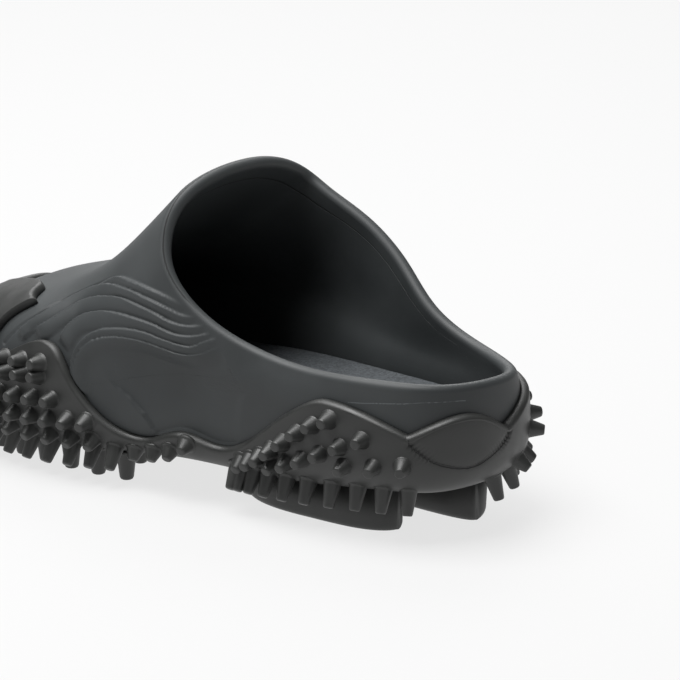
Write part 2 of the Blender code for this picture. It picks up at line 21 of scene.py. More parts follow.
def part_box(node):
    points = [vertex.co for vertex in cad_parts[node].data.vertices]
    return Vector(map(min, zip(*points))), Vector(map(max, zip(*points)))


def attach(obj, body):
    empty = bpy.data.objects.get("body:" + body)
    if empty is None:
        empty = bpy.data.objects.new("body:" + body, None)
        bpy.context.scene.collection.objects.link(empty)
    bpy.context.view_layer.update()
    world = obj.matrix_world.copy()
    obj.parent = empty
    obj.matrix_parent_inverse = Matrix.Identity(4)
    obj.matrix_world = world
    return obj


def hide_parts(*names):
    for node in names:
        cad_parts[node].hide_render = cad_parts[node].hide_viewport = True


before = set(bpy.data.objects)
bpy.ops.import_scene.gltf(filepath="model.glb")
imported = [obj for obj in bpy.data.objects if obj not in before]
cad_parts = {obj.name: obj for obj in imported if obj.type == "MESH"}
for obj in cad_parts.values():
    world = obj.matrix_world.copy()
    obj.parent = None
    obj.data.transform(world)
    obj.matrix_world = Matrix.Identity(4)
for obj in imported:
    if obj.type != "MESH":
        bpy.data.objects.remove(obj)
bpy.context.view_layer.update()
MM = 0.001
print("nodes of the frame:", sorted(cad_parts))

# %% [markdown]
# ## Camera
#
# The camera comes first, so that every later step can be looked at from the right place.
# The photograph was taken with a long lens from behind and to the outer side. The angles,
# the distance and the point in the middle of the picture were found by matching the
# outline of the shoe.

# %% Camera
VIEW_AZIMUTH = -50.0
VIEW_ELEVATION = 17.3
VIEW_DISTANCE = 1.300
TARGET_SIDE = -0.00735       # from the middle of the foam shell to the picture's middle
TARGET_AHEAD = 0.06113       # from the back of the heel to the picture's middle
TARGET_HEIGHT = 0.0600
SENSOR = 36.0
PICTURE_SIZE = 680
FOCAL_IN_PIXELS = 3731


def add_camera():
    """Camera at the photograph's angle."""
    turn, lift = math.radians(VIEW_AZIMUTH), math.radians(VIEW_ELEVATION)
    back = Vector((math.sin(turn) * math.cos(lift), -math.cos(turn) * math.cos(lift),
                   math.sin(lift)))
    data = bpy.data.cameras.new("camera")
    data.sensor_width = SENSOR
    data.lens = FOCAL_IN_PIXELS / PICTURE_SIZE * SENSOR
    made = bpy.data.objects.new("camera", data)
    low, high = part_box("upper")
    target = Vector(((low[0] + high[0]) / 2 + TARGET_SIDE, low[1] + TARGET_AHEAD, TARGET_HEIGHT))
    made.location = target + back * VIEW_DISTANCE
    made.rotation_euler = back.to_track_quat("Z", "Y").to_euler()
    bpy.context.scene.collection.objects.link(made)
    return made


bpy.context.scene.camera = add_camera()
print("lens in mm:", round(bpy.context.scene.camera.data.lens, 1))

# %% [markdown]
# ## The last, as ribs that fan round the foot
#
# A moulded shoe takes its form from a last. Ribs fan round it: each one climbs from the
# bottom's edge over the widest line to the collar. The tables hold shares of the real
# sizes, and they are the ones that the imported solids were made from, so each new piece
# lies where its solid lies. A smooth curve joins the ribs round the shoe, and a spline
# climbs each rib.

# %% Sizes of the shell
BODY_LENGTH = 0.272
BALL_WIDTH = 0.104
HEEL_WIDTH = 0.070
LIP_HEIGHT = 0.1128
HEEL_RIM_HEIGHT = 0.052
TOE_BOX_HEIGHT = 0.056
GIRTH_HEIGHT = 0.036
SHELL_WALL = 0.005
FOOT_INSET = 0.006
BALL_UNDER = 0.0145
HEEL_UNDER = 0.0220
BALL_SEAT = 0.0235
HEEL_SEAT = 0.0335
TOE_SPRING = 0.0060
SIDE_SWELL = 0.65
TOE_SWELL = 0.38
GAP = 0.0003

# %% Ribs of the last
RIB_COLUMNS = ("girth_side", "girth_along", "girth_height",
               "vamp_side", "vamp_along", "vamp_height",
               "dip_side", "dip_along", "dip_height",
               "collar_side", "collar_along", "rise")
RIBS = {
    "heel_back": (0.00, 0.007, 1.05, 0.00, 0.007, 0.86,
                  0.00, 0.008, 0.93, 0.00, 0.010, 0.02),
    "heel_lat_back": (-0.70, 0.035, 1.05, -0.70, 0.035, 0.86,
                      -0.69, 0.035, 0.93, -0.67, 0.037, 0.05),
    "heel_lat": (-1.02, 0.125, 1.05, -1.02, 0.125, 0.86,
                 -1.01, 0.125, 0.94, -0.99, 0.121, 0.058),
    "waist_lat": (-1.03, 0.265, 1.00, -1.06, 0.250, 0.88,
                  -1.04, 0.243, 0.97, -0.99, 0.235, 0.063),
    "mid_lat": (-1.00, 0.423, 1.00, -1.05, 0.386, 0.95,
                -1.03, 0.364, 1.04, -0.99, 0.340, 0.19),
    "ball_lat": (-1.04, 0.610, 0.97, -0.98, 0.537, 1.00,
                 -0.94, 0.480, 1.16, -0.94, 0.415, 0.42),
    "toe_lat": (-0.96, 0.801, 0.87, -0.74, 0.698, 1.00,
                -0.67, 0.570, 1.17, -0.81, 0.448, 0.66),
    "toe_lat_tip": (-0.62, 0.945, 0.78, -0.42, 0.765, 0.99,
                    -0.37, 0.622, 1.15, -0.51, 0.450, 0.92),
    "toe_tip": (0.08, 1.011, 0.72, 0.03, 0.770, 1.04,
                0.06, 0.630, 1.15, 0.17, 0.436, 1.00),
    "toe_med_tip": (0.65, 0.956, 0.78, 0.44, 0.765, 0.99,
                    0.44, 0.622, 1.14, 0.69, 0.430, 0.865),
    "toe_med": (0.90, 0.831, 0.87, 0.72, 0.698, 0.96,
                0.69, 0.564, 1.16, 0.84, 0.396, 0.735),
    "ball_med": (0.94, 0.647, 0.97, 0.90, 0.537, 1.00,
                 0.91, 0.462, 1.17, 0.97, 0.335, 0.59),
    "mid_med": (0.87, 0.449, 1.00, 0.98, 0.386, 0.95,
                1.02, 0.338, 1.09, 1.03, 0.268, 0.38),
    "waist_med": (0.91, 0.279, 1.00, 1.01, 0.250, 0.88,
                  1.02, 0.235, 0.99, 0.98, 0.204, 0.165),
    "heel_med": (0.95, 0.125, 1.05, 0.96, 0.125, 0.86,
                 0.96, 0.125, 0.93, 0.94, 0.121, 0.02),
    "heel_med_back": (0.67, 0.035, 1.05, 0.67, 0.035, 0.86,
                      0.66, 0.035, 0.93, 0.64, 0.037, -0.005),
}
RIB_COUNT = len(RIBS)

# Heights along the shoe, by share of BODY_LENGTH: under and seat go from the ball's height
# (0) to the heel's (1), spring is a share of TOE_SPRING and tuck a share of FOOT_INSET.
SOLE_COLUMNS = ("along", "under", "seat", "spring", "tuck")
SOLE_LINE = (
    (-0.01, 0.97, 1.00, 0.0, 1.0),
    (0.06, 1.00, 1.00, 0.0, 1.0),
    (0.15, 0.86, 1.00, 0.0, 1.0),
    (0.24, 0.47, 0.99, 0.0, 1.0),
    (0.31, 0.44, 0.95, 0.0, 1.0),
    (0.37, 0.93, 0.86, 0.0, 1.0),
    (0.45, 0.21, 0.66, 0.0, 1.0),
    (0.52, 0.00, 0.40, 0.0, 1.0),
    (0.62, 0.00, 0.12, 0.0, 1.0),
    (0.75, 0.00, 0.00, 0.0, 1.1),
    (0.88, 0.00, 0.00, 0.3, 1.5),
    (1.02, 0.00, 0.00, 1.0, 2.2),
)
print(RIB_COUNT, "ribs,", len(SOLE_LINE), "stations along the sole")


# %% Heights along the shoe
def row_values(table, column, columns):
    """One named column of a table as an array."""
    place = columns.index(column)
    return np.array([row[place] for row in table], dtype=float)


HEEL_END = 0.15              # share of BODY_LENGTH up to which the heel's sizes hold
HEEL_TO_BALL = 0.45          # share over which they turn into the ball's


def from_heel_to_ball(along, heel, ball):
    """Blend a size of the heel into one of the ball, by share of BODY_LENGTH."""
    blend = np.clip((along - HEEL_END) / HEEL_TO_BALL, 0, 1)
    return heel + (ball - heel) * blend * blend * (3 - 2 * blend)


def half_width(along):
    """Half the local width of the shell."""
    return from_heel_to_ball(along, HEEL_WIDTH, BALL_WIDTH) / 2


def crest_height(along):
    """Height that the side wall's rows are shares of: the heel rim's, then the toe box's."""
    return from_heel_to_ball(along, HEEL_RIM_HEIGHT, TOE_BOX_HEIGHT)


def sole_height(y, column, ball, heel):
    """Smooth line of heights through one column of the sole's table."""
    stations = row_values(SOLE_LINE, "along", SOLE_COLUMNS) * BODY_LENGTH
    heights = (ball + (heel - ball) * row_values(SOLE_LINE, column, SOLE_COLUMNS)
               + TOE_SPRING * row_values(SOLE_LINE, "spring", SOLE_COLUMNS))
    slopes = np.gradient(heights, stations)
    y = np.clip(y, stations[0], stations[-1])
    span = np.clip(np.searchsorted(stations, y, side="right") - 1, 0, len(stations) - 2)
    width = stations[span + 1] - stations[span]
    s = (y - stations[span]) / width
    return (heights[span] * (1 + 2 * s) * (1 - s) ** 2 + heights[span + 1] * s * s * (3 - 2 * s)
            + width * (slopes[span] * s * (1 - s) ** 2 - slopes[span + 1] * s * s * (1 - s)))


def underside(y):
    """Height of the shell's underside."""
    return sole_height(y, "under", BALL_UNDER, HEEL_UNDER)


def seat(y):
    """Height of the footbed's seat inside the shell."""
    return sole_height(y, "seat", BALL_SEAT, HEEL_SEAT)


def tuck(y):
    """Share of FOOT_INSET that the bottom's edge stands in."""
    return np.interp(y, row_values(SOLE_LINE, "along", SOLE_COLUMNS) * BODY_LENGTH,
                     row_values(SOLE_LINE, "tuck", SOLE_COLUMNS))


# %% [markdown]
# Eight rings run round the shoe through the ribs: the foot's edge, a low line, the widest
# line, the shoulder, the vamp, the dip behind it, the throat and the collar. A closed cubic
# spline makes each ring smooth, and a B-spline across the eight rings makes the rib. That
# gives one formula for any point of the last, and for its outward normal.

# %% Rings round the last
TOE_SPINE = 0.38             # share of the ball's width from the toe back to the spine's end
LOW_LINE = 0.15              # share of the way from the foot's edge up to the widest line


def rib_controls():
    """Control rings of the shell, from the foot's edge to the collar, one row for each rib."""
    table = np.array(list(RIBS.values()), dtype=float)
    column = {name: table[:, place] for place, name in enumerate(RIB_COLUMNS)}

    def ring(line, height):
        along = column[line + "_along"]
        side = column[line + "_side"] * half_width(along)
        return np.stack([side, along * BODY_LENGTH, height], axis=1)

    rim = HEEL_RIM_HEIGHT + column["rise"] * (LIP_HEIGHT - HEEL_RIM_HEIGHT)
    girth = ring("girth", column["girth_height"] * GIRTH_HEIGHT)
    vamp = ring("vamp", column["vamp_height"] * crest_height(column["vamp_along"]))
    dip = ring("dip", column["dip_height"] * crest_height(column["dip_along"]))
    collar = ring("collar", rim)

    spine = np.zeros_like(girth)
    spine[:, 1] = np.clip(girth[:, 1], HEEL_WIDTH / 2, BODY_LENGTH - BALL_WIDTH * TOE_SPINE)
    outward = girth - spine
    outward[:, 2] = 0
    outward /= np.linalg.norm(outward, axis=1)[:, None]
    foot = girth - outward * (FOOT_INSET * tuck(girth[:, 1]))[:, None]
    foot[:, 2] = underside(foot[:, 1])
    low = girth.copy()
    low[:, 2] = foot[:, 2] + LOW_LINE * (girth[:, 2] - foot[:, 2])
    shoulder = (girth + vamp) / 2
    swell = SIDE_SWELL + (TOE_SWELL - SIDE_SWELL) * np.clip(outward[:, 1], 0, 1)
    shoulder[:, 2] = girth[:, 2] + swell * (vamp[:, 2] - girth[:, 2])
    return [foot, low, girth, shoulder, vamp, dip, (dip + collar) / 2, collar]


def periodic_spline(rows):
    """Values and second derivatives of the closed cubic spline through the rows."""
    count = len(rows)
    matrix = 4 * np.eye(count) + np.roll(np.eye(count), 1, 0) + np.roll(np.eye(count), -1, 0)
    bent = np.roll(rows, -1, 0) - 2 * rows + np.roll(rows, 1, 0)
    return rows, np.linalg.solve(matrix, 6 * bent)


RINGS = [periodic_spline(ring) for ring in rib_controls()]
print(len(RINGS), "rings")


# %% A point of the last, and its normal
SMALL_STEP = 1e-3            # in ribs or shares, to measure a slope
SEARCH_TOP = 0.95            # highest share at which a height is searched
SEARCH_STEPS = 30


def on_ring(spline, rib):
    """Point of a closed spline at a rib position, 0 at the heel, 8 at the toe tip."""
    rows, bends = spline
    i = np.floor(rib).astype(int) % RIB_COUNT
    j = (i + 1) % RIB_COUNT
    b = (rib - np.floor(rib))[:, None]
    a = 1 - b
    return a * rows[i] + b * rows[j] + ((a ** 3 - a) * bends[i] + (b ** 3 - b) * bends[j]) / 6


def clamped_basis(count, share, degree=3):
    """Weights of the control rings at each share of the way up a rib."""
    knots = np.concatenate([np.zeros(degree), np.linspace(0, 1, count - degree + 1),
                            np.ones(degree)])
    share = np.clip(share, 0, 1 - 1e-9)
    weights = [((knots[i] <= share) & (share < knots[i + 1])).astype(float)
               for i in range(len(knots) - 1)]
    for d in range(1, degree + 1):
        raised = []
        for i in range(len(weights) - 1):
            term = np.zeros_like(share)
            first, second = knots[i + d] - knots[i], knots[i + d + 1] - knots[i + 1]
            if first > 0:
                term += (share - knots[i]) / first * weights[i]
            if second > 0:
                term += (knots[i + d + 1] - share) / second * weights[i + 1]
            raised.append(term)
        weights = raised
    return np.stack(weights, axis=1)


def matched(rib, share):
    """Rib and share as arrays of floats of one length."""
    return np.broadcast_arrays(np.atleast_1d(rib).astype(float),
                               np.atleast_1d(share).astype(float))


def shell_point(rib, share):
    """Outer surface of the shell."""
    rib, share = matched(rib, share)
    rings = np.stack([on_ring(spline, rib) for spline in RINGS], axis=1)
    return np.einsum("nck,nc->nk", rings, clamped_basis(len(RINGS), share))


def shell_normal(rib, share):
    """Outward normal and upward tangent of the shell's outer surface."""
    rib, share = matched(rib, share)
    low, high = np.clip(share - SMALL_STEP, 0, 1), np.clip(share + SMALL_STEP, 0, 1)
    along = shell_point(rib + SMALL_STEP, share) - shell_point(rib - SMALL_STEP, share)
    up = shell_point(rib, high) - shell_point(rib, low)
    up /= np.linalg.norm(up, axis=1)[:, None]
    normal = np.cross(up, along)
    return normal / np.linalg.norm(normal, axis=1)[:, None], up


def shell_offset(rib, share, distance):
    """Point at a distance out from the shell's outer surface."""
    return shell_point(rib, share) + shell_normal(rib, share)[0] * np.reshape(distance, (-1, 1))


def share_at_height(rib, height, inset):
    """Share up each rib where the shell's wall, moved in by inset, reaches a height above y."""
    low, high = np.full(len(rib), 0.0), np.full(len(rib), SEARCH_TOP)
    for _ in range(SEARCH_STEPS):
        middle = (low + high) / 2
        point = shell_offset(rib, middle, np.full(len(rib), -inset))
        above = point[:, 2] > height(point[:, 1])
        high = np.where(above, middle, high)
        low = np.where(above, low, middle)
    return (low + high) / 2


# %% [markdown]
# ## The wave
#
# The rubber cup ends in a wave along the side of the foam: high over the ball, low in the
# waist, high again at the heel. Two sharp valleys bound the almond-shaped panel behind the
# heel. The wave is a short table of crests and valleys, and cosines join them.

# %% Top edge of the rubber
WAVE_COLUMNS = ("rib", "height", "sharp")
WAVE = (
    (0.60, 0.905, False),
    (1.34, 0.785, True),
    (2.38, 0.940, False),
    (3.48, 0.435, False),
    (3.80, 0.480, False),
    (4.20, 0.375, False),
    (5.20, 0.885, False),
    (5.55, 0.700, False),
    (5.95, 1.030, False),
    (6.55, 1.060, False),
    (8.20, 0.800, False),
    (10.0, 0.610, False),
    (10.8, 0.885, False),
    (11.8, 0.375, False),
    (12.2, 0.480, False),
    (12.55, 0.435, False),
    (14.3, 0.945, False),
    (15.88, 0.750, True),
)
TABLE_RIBS = np.linspace(0, RIB_COUNT, 3201)


def wave_share(rib):
    """Share up each rib at the rubber's top edge: round crests, sharp valleys where named."""
    stations = row_values(WAVE, "rib", WAVE_COLUMNS)
    heights = row_values(WAVE, "height", WAVE_COLUMNS)
    sharp = row_values(WAVE, "sharp", WAVE_COLUMNS) > 0
    rib = np.mod(rib - stations[0], RIB_COUNT) + stations[0]
    start = np.searchsorted(stations, rib, side="right") - 1
    end = (start + 1) % len(stations)
    width = np.mod(stations[end] - stations[start], RIB_COUNT)
    s = (rib - stations[start]) / width
    ease = np.where(sharp[start],
                    np.where(sharp[end], s, np.sin(s * math.pi / 2)),
                    np.where(sharp[end], 1 - np.cos(s * math.pi / 2),
                             (1 - np.cos(s * math.pi)) / 2))
    height = heights[start] + (heights[end] - heights[start]) * ease
    return share_at_height(rib, lambda y: height * crest_height(y / BODY_LENGTH), -GAP)


WAVE_TABLE = wave_share(TABLE_RIBS)
SEAT_TABLE = share_at_height(TABLE_RIBS, seat, SHELL_WALL)


def from_table(table, rib):
    """Value at each rib from a table over TABLE_RIBS."""
    return np.interp(np.mod(rib, RIB_COUNT), TABLE_RIBS, table)


print("the wave runs from share", round(WAVE_TABLE.min(), 2), "to", round(WAVE_TABLE.max(), 2))

# %% [markdown]
# ## Sheets
#
# Each skin of the shoe is a grid whose points are moved to their place, and lids close it
# underneath. The grid's columns stand closer together beside the relief of the forefoot,
# where the forms are finest. After the doubles are merged the skin is one closed surface.

# %% Sheets, lids and finished objects
CROWD_COLUMNS = ("rib", "density")
CROWD = (
    (0.0, 0.9),
    (1.8, 0.9),
    (3.2, 0.8),
    (3.8, 2.2),
    (6.1, 2.2),
    (6.8, 0.7),
    (8.0, 0.7),
)


def crowd_table():
    """Share of the columns up to each rib, the same on both sides of the shoe."""
    side = np.minimum(TABLE_RIBS, RIB_COUNT - TABLE_RIBS)
    density = np.interp(side, row_values(CROWD, "rib", CROWD_COLUMNS),
                        row_values(CROWD, "density", CROWD_COLUMNS))
    total = np.concatenate([[0], np.cumsum((density[1:] + density[:-1]) / 2)])
    return total / total[-1]


CROWD_TABLE = crowd_table()
EDGE_OF_GRID = 1e-6          # shares nearer to 0 or 1 than this lie on a grid's edge
LAST_STEPS = 81              # points each way that measure the last


def rib_of(u):
    """Rib position of a share of the columns."""
    return np.interp(u, CROWD_TABLE, TABLE_RIBS)


def add_sheet(bm, around, rows, place):
    """Add a grid to bm and move its points: place(u, v) takes shares from 0 to 1 each way."""
    made = bmesh.ops.create_grid(bm, x_segments=around, y_segments=rows, size=0.5)["verts"]
    flat = np.array([vert.co for vert in made])
    for vert, point in zip(made, place(flat[:, 0] + 0.5, flat[:, 1] + 0.5)):
        vert.co = point


def share_done(row, before, rows):
    """How far a row has come, from 0 to 1, through the rows that follow some others."""
    return np.clip((row - before) / rows, 0, 1)


def lid(ring, height):
    """Shape of a lid that joins the two sides of a ring across the foot: place(u, v)."""
    def place(u, v):
        rib = rib_of(u / 2)
        lateral = ring(rib)
        medial = ring(RIB_COUNT - rib)
        point = lateral + (medial - lateral) * v[:, None]
        inside = (np.minimum(u, 1 - u) > EDGE_OF_GRID) & (np.minimum(v, 1 - v) > EDGE_OF_GRID)
        point[inside, 2] = height(point[inside, 1])
        return point
    return place


def centre_shift():
    """Move from the heel of the last to the frame, worked out from the upper's box."""
    low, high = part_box("upper")
    rib, share = np.meshgrid(np.linspace(0, RIB_COUNT, LAST_STEPS), np.linspace(0, 1, LAST_STEPS))
    points = shell_point(rib.ravel(), share.ravel())
    middle = (points.min(0) + points.max(0)) / 2
    return Vector(((low[0] + high[0]) / 2 - middle[0], (low[1] + high[1]) / 2 - middle[1], 0))


SHIFT = centre_shift()
print("the heel of the last lies at", tuple(round(value, 5) for value in SHIFT))


def finish_object(bm, name, finish, merge=1e-6):
    """Merge doubles, turn the faces outwards and link the object in its place in the frame."""
    bmesh.ops.remove_doubles(bm, verts=bm.verts, dist=merge)
    bmesh.ops.dissolve_degenerate(bm, edges=bm.edges, dist=1e-7)
    bmesh.ops.recalc_face_normals(bm, faces=bm.faces)
    bmesh.ops.translate(bm, verts=bm.verts, vec=SHIFT)
    mesh = bpy.data.meshes.new(name)
    bm.to_mesh(mesh)
    bm.free()
    mesh.materials.append(finish)
    mesh.shade_smooth()
    made = bpy.data.objects.new(name, mesh)
    bpy.context.scene.collection.objects.link(made)
    triangles = sum(len(face.vertices) - 2 for face in mesh.polygons)
    print(name, "has", triangles, "triangles")
    return made


# %% [markdown]
# ## Shaders
#
# The shoe has three finishes, and none of them is paint. EVA foam comes out of a polished
# mould with a closed skin: matt, with a faint silky gloss where an edge turns to the light.
# The rubber of the cup is darker, a little brown, and glossier on its edges. The footbed is
# a foam board with a fine speckle. The studs and pads have the rubber once more, a touch
# lighter and without the groove that is drawn on the cup. Light and shade are painted on
# three fine lines: a painted highlight on the foam's parting line, and painted shade in the
# foam's creases and in the cup's groove. One function adds a node with its settings and
# links.

# %% Colours and nodes
FULL_LINE = 0.4              # share of a drawn line's width that has the full colour


def linear(colour):
    """Linear colour of an sRGB hex value."""
    channels = [channel / 255 for channel in bytes.fromhex(colour)]
    return (*[c / 12.92 if c <= 0.04045 else ((c + 0.055) / 1.055) ** 2.4 for c in channels], 1)


def add_node(tree, kind, settings=None, **links):
    """Add a node: settings by attribute or socket, links as socket=(node, output).

    A socket is named, or it is the number of its place: 7 in settings, _7 in links.
    """
    node = tree.nodes.new("ShaderNode" + kind)
    for name, value in (settings or {}).items():
        if isinstance(name, str) and hasattr(node, name):
            setattr(node, name, value)
        else:
            node.inputs[name].default_value = value
    for name, (source, output) in links.items():
        place = int(name[1:]) if name[1:].isdigit() else name.replace("_", " ")
        tree.links.new(source.outputs[output], node.inputs[place])
    return node


def set_stops(tone, *stops):
    """Place and colour of each stop of a colour ramp."""
    for element, (position, colour) in zip(tone.color_ramp.elements, stops):
        element.position = position
        element.color = linear(colour)


def new_material(name, colour, roughness, ior):
    """Empty Principled material with its constant values set on the shader's own sockets."""
    made = bpy.data.materials.new(name)
    made.use_nodes = True
    shader = made.node_tree.nodes["Principled BSDF"]
    shader.inputs["Base Color"].default_value = linear(colour)
    shader.inputs["Roughness"].default_value = roughness
    shader.inputs["IOR"].default_value = ior
    made.diffuse_color = linear(colour)
    return made, made.node_tree, shader


def size_to_scale(millimetres):
    """Noise scale, in 1/m, of a grain of this size."""
    return 1 / (millimetres * MM)


def line_at(tree, name, width):
    """1 on the line whose signed distance in mm the mesh carries under this name, 0 beside it."""
    distance = add_node(tree, "Attribute", {"attribute_name": name})
    size = add_node(tree, "Math", {"operation": "ABSOLUTE"}, _0=(distance, "Fac"))
    fade = {"From Min": width * FULL_LINE, "From Max": width, "To Min": 1.0, "To Max": 0.0}
    return add_node(tree, "MapRange", fade, Value=(size, "Value"))


# %% [markdown]
# ### Moulded EVA foam
#
# Injection-moulded foam copies the mould: its skin has a grain of about half a millimetre
# that breaks up the gloss, soft waves of a few centimetres where the foam shrank, a
# parting line on the heel, drawn light as a painted highlight on its fine ridge, and fine
# creases, drawn dark as painted shade. The lines follow curves on the surface, so the
# mesh carries its signed distance to them in millimetres, and the shader draws a line
# where that is small.

# %% Moulded EVA foam
FOAM_COLOUR = "2f3233"
FOAM_LIGHT = "36393a"
FOAM_GRAIN = 0.55            # mm
FOAM_WAVE = 24.0             # mm
FOAM_IOR = 1.46
FOAM_MATT = 0.56
FOAM_ROUGHNESS = {"From Min": 0.3, "From Max": 0.7, "To Min": 0.50, "To Max": 0.60}
FOAM_SKIN = {"Strength": 0.22, "Distance": 0.06 * MM}
# painted highlight: the parting line is drawn lighter than the foam, standing in for the light on
# its fine ridge
PARTING_HIGHLIGHT = "565a5c"
PARTING_WIDTH = 0.22         # mm, half the width of a line
# painted shade: the creases are drawn near black, standing in for the shade inside them
CREASE_SHADE = "141515"
CREASE_WIDTH = 0.30          # mm
CREASE_CUT = {"Strength": 0.7, "Distance": 0.2 * MM, "invert": True}


def moulded_foam():
    """Matt grey closed-cell foam, out of the mould: fine grain, soft waves, a painted highlight on
    the parting line and painted shade in the creases.
    """
    made, tree, shader = new_material("moulded_eva_foam", FOAM_COLOUR, FOAM_MATT, FOAM_IOR)
    place = add_node(tree, "TexCoord")
    wave = add_node(tree, "TexNoise", {"Scale": size_to_scale(FOAM_WAVE), "Detail": 3.0},
                    Vector=(place, "Object"))
    grain = add_node(tree, "TexNoise", {"Scale": size_to_scale(FOAM_GRAIN), "Detail": 2.0},
                     Vector=(place, "Object"))
    tone = add_node(tree, "ValToRGB", Fac=(wave, "Fac"))
    set_stops(tone, (0.35, FOAM_COLOUR), (0.68, FOAM_LIGHT))
    parting = line_at(tree, "parting", PARTING_WIDTH)
    crease = line_at(tree, "crease", CREASE_WIDTH)
    # painted highlight along the parting line
    parting_highlighted = add_node(tree, "Mix", {"data_type": "RGBA", 7: linear(PARTING_HIGHLIGHT)},
                      _0=(parting, "Result"), _6=(tone, "Color"))
    # painted shade along the creases
    crease_shaded = add_node(tree, "Mix", {"data_type": "RGBA", 7: linear(CREASE_SHADE)},
                       _0=(crease, "Result"), _6=(parting_highlighted, 2))
    tree.links.new(crease_shaded.outputs[2], shader.inputs["Base Color"])
    gloss = add_node(tree, "MapRange", FOAM_ROUGHNESS, Value=(wave, "Fac"))
    tree.links.new(gloss.outputs["Result"], shader.inputs["Roughness"])
    skin = add_node(tree, "Bump", FOAM_SKIN, Height=(grain, "Fac"))
    cut = add_node(tree, "Bump", CREASE_CUT, Height=(crease, "Result"), Normal=(skin, "Normal"))
    tree.links.new(cut.outputs["Normal"], shader.inputs["Normal"])
    return made


foam = moulded_foam()

# %% [markdown]
# ### Moulded rubber
#
# The cup is carbon-filled rubber. It is cut from flash at its edge and comes out of a
# blasted mould, so it has a finer grain than the foam, a warmer black, and a gloss that
# shows on the bevel of its edge and on the studs.

# %% Moulded rubber
RUBBER_COLOUR = "232423"
RUBBER_LIGHT = "2b2c2b"
STUD_COLOUR = "242524"
STUD_LIGHT = "2e2f2e"
RUBBER_GRAIN = 0.35          # mm
RUBBER_BLOOM = 9.0           # mm
RUBBER_IOR = 1.52
RUBBER_SATIN = 0.46
RUBBER_ROUGHNESS = {"From Min": 0.3, "From Max": 0.7, "To Min": 0.40, "To Max": 0.54}
RUBBER_SKIN = {"Strength": 0.25, "Distance": 0.05 * MM}
# painted shade: the groove round the almond panel is drawn near black
GROOVE_SHADE = "0e0e0e"
GROOVE_WIDTH = 0.55          # mm
GROOVE_CUT = {"Strength": 0.8, "Distance": 0.3 * MM, "invert": True}


def moulded_rubber(name, dark, light, grooved):
    """Satin dark rubber with a blasted grain and a faint bloom, with or without the groove and its
    painted shade.
    """
    made, tree, shader = new_material(name, dark, RUBBER_SATIN, RUBBER_IOR)
    place = add_node(tree, "TexCoord")
    bloom = add_node(tree, "TexNoise", {"Scale": size_to_scale(RUBBER_BLOOM), "Detail": 4.0},
                     Vector=(place, "Object"))
    grain = add_node(tree, "TexNoise", {"Scale": size_to_scale(RUBBER_GRAIN), "Detail": 2.0},
                     Vector=(place, "Object"))
    tone = add_node(tree, "ValToRGB", Fac=(bloom, "Fac"))
    set_stops(tone, (0.3, dark), (0.72, light))
    tree.links.new(tone.outputs["Color"], shader.inputs["Base Color"])
    gloss = add_node(tree, "MapRange", RUBBER_ROUGHNESS, Value=(bloom, "Fac"))
    tree.links.new(gloss.outputs["Result"], shader.inputs["Roughness"])
    skin = add_node(tree, "Bump", RUBBER_SKIN, Height=(grain, "Fac"))
    tree.links.new(skin.outputs["Normal"], shader.inputs["Normal"])
    if grooved:
        groove = line_at(tree, "groove", GROOVE_WIDTH)
        # painted shade along the groove
        groove_shaded = add_node(tree, "Mix", {"data_type": "RGBA", 7: linear(GROOVE_SHADE)},
                         _0=(groove, "Result"), _6=(tone, "Color"))
        tree.links.new(groove_shaded.outputs[2], shader.inputs["Base Color"])
        cut = add_node(tree, "Bump", GROOVE_CUT,
                       Height=(groove, "Result"), Normal=(skin, "Normal"))
        tree.links.new(cut.outputs["Normal"], shader.inputs["Normal"])
    return made


rubber = moulded_rubber("carbon_rubber_cup", RUBBER_COLOUR, RUBBER_LIGHT, True)
stud_rubber = moulded_rubber("carbon_rubber_studs", STUD_COLOUR, STUD_LIGHT, False)

# %% [markdown]
# ### Footbed foam
#
# The footbed is cut from a foam board of two greys. Its crumb is under a millimetre, so a
# cell pattern picks light and dark crumbs, and the same pattern gives a slight bump.

# %% Footbed foam
FOOTBED_DARK = "303336"
FOOTBED_LIGHT = "4a4e51"
FOOTBED_IOR = 1.45
FOOTBED_MATT = 0.85
FOOTBED_SKIN = {"Strength": 0.3, "Distance": 0.1 * MM}
CRUMB = 0.7                  # mm


def footbed_foam():
    """Matt speckled foam board."""
    made, tree, shader = new_material("footbed_foam_board", FOOTBED_DARK, FOOTBED_MATT,
                                      FOOTBED_IOR)
    place = add_node(tree, "TexCoord")
    crumb = add_node(tree, "TexVoronoi", {"Scale": size_to_scale(CRUMB)}, Vector=(place, "Object"))
    pick = add_node(tree, "SeparateColor", Color=(crumb, "Color"))
    tone = add_node(tree, "ValToRGB", Fac=(pick, "Red"))
    set_stops(tone, (0, FOOTBED_DARK), (1, FOOTBED_LIGHT))
    tree.links.new(tone.outputs["Color"], shader.inputs["Base Color"])
    skin = add_node(tree, "Bump", FOOTBED_SKIN, Height=(crumb, "Distance"))
    tree.links.new(skin.outputs["Normal"], shader.inputs["Normal"])
    return made


board = footbed_foam()
print("materials:", foam.name, rubber.name, stud_rubber.name, board.name)

# %% [markdown]
# ## Relief of the side
#
# Below the collar the foam is moulded in rolls that run from the toe box over the side and
# rise again to the rim, like folded waves. Each roll starts with a steep step at its crest
# and has a round back down to the next crest, and the last one runs out into a smooth
# panel that lies deeper. They could be a bump in the shader, but they show from a step away
# by their light and shade, so the mesh itself moves. Each crest is a short curve over the
# ribs through listed points, and a point moves out by its distance below the nearest crests.

# %% Curves on the surface
FAR = 1e3                    # mm, for a point that isn't measured
RIM_STEPS = 400
AT_ONCE = 4000               # points measured at once, which keeps the arrays small


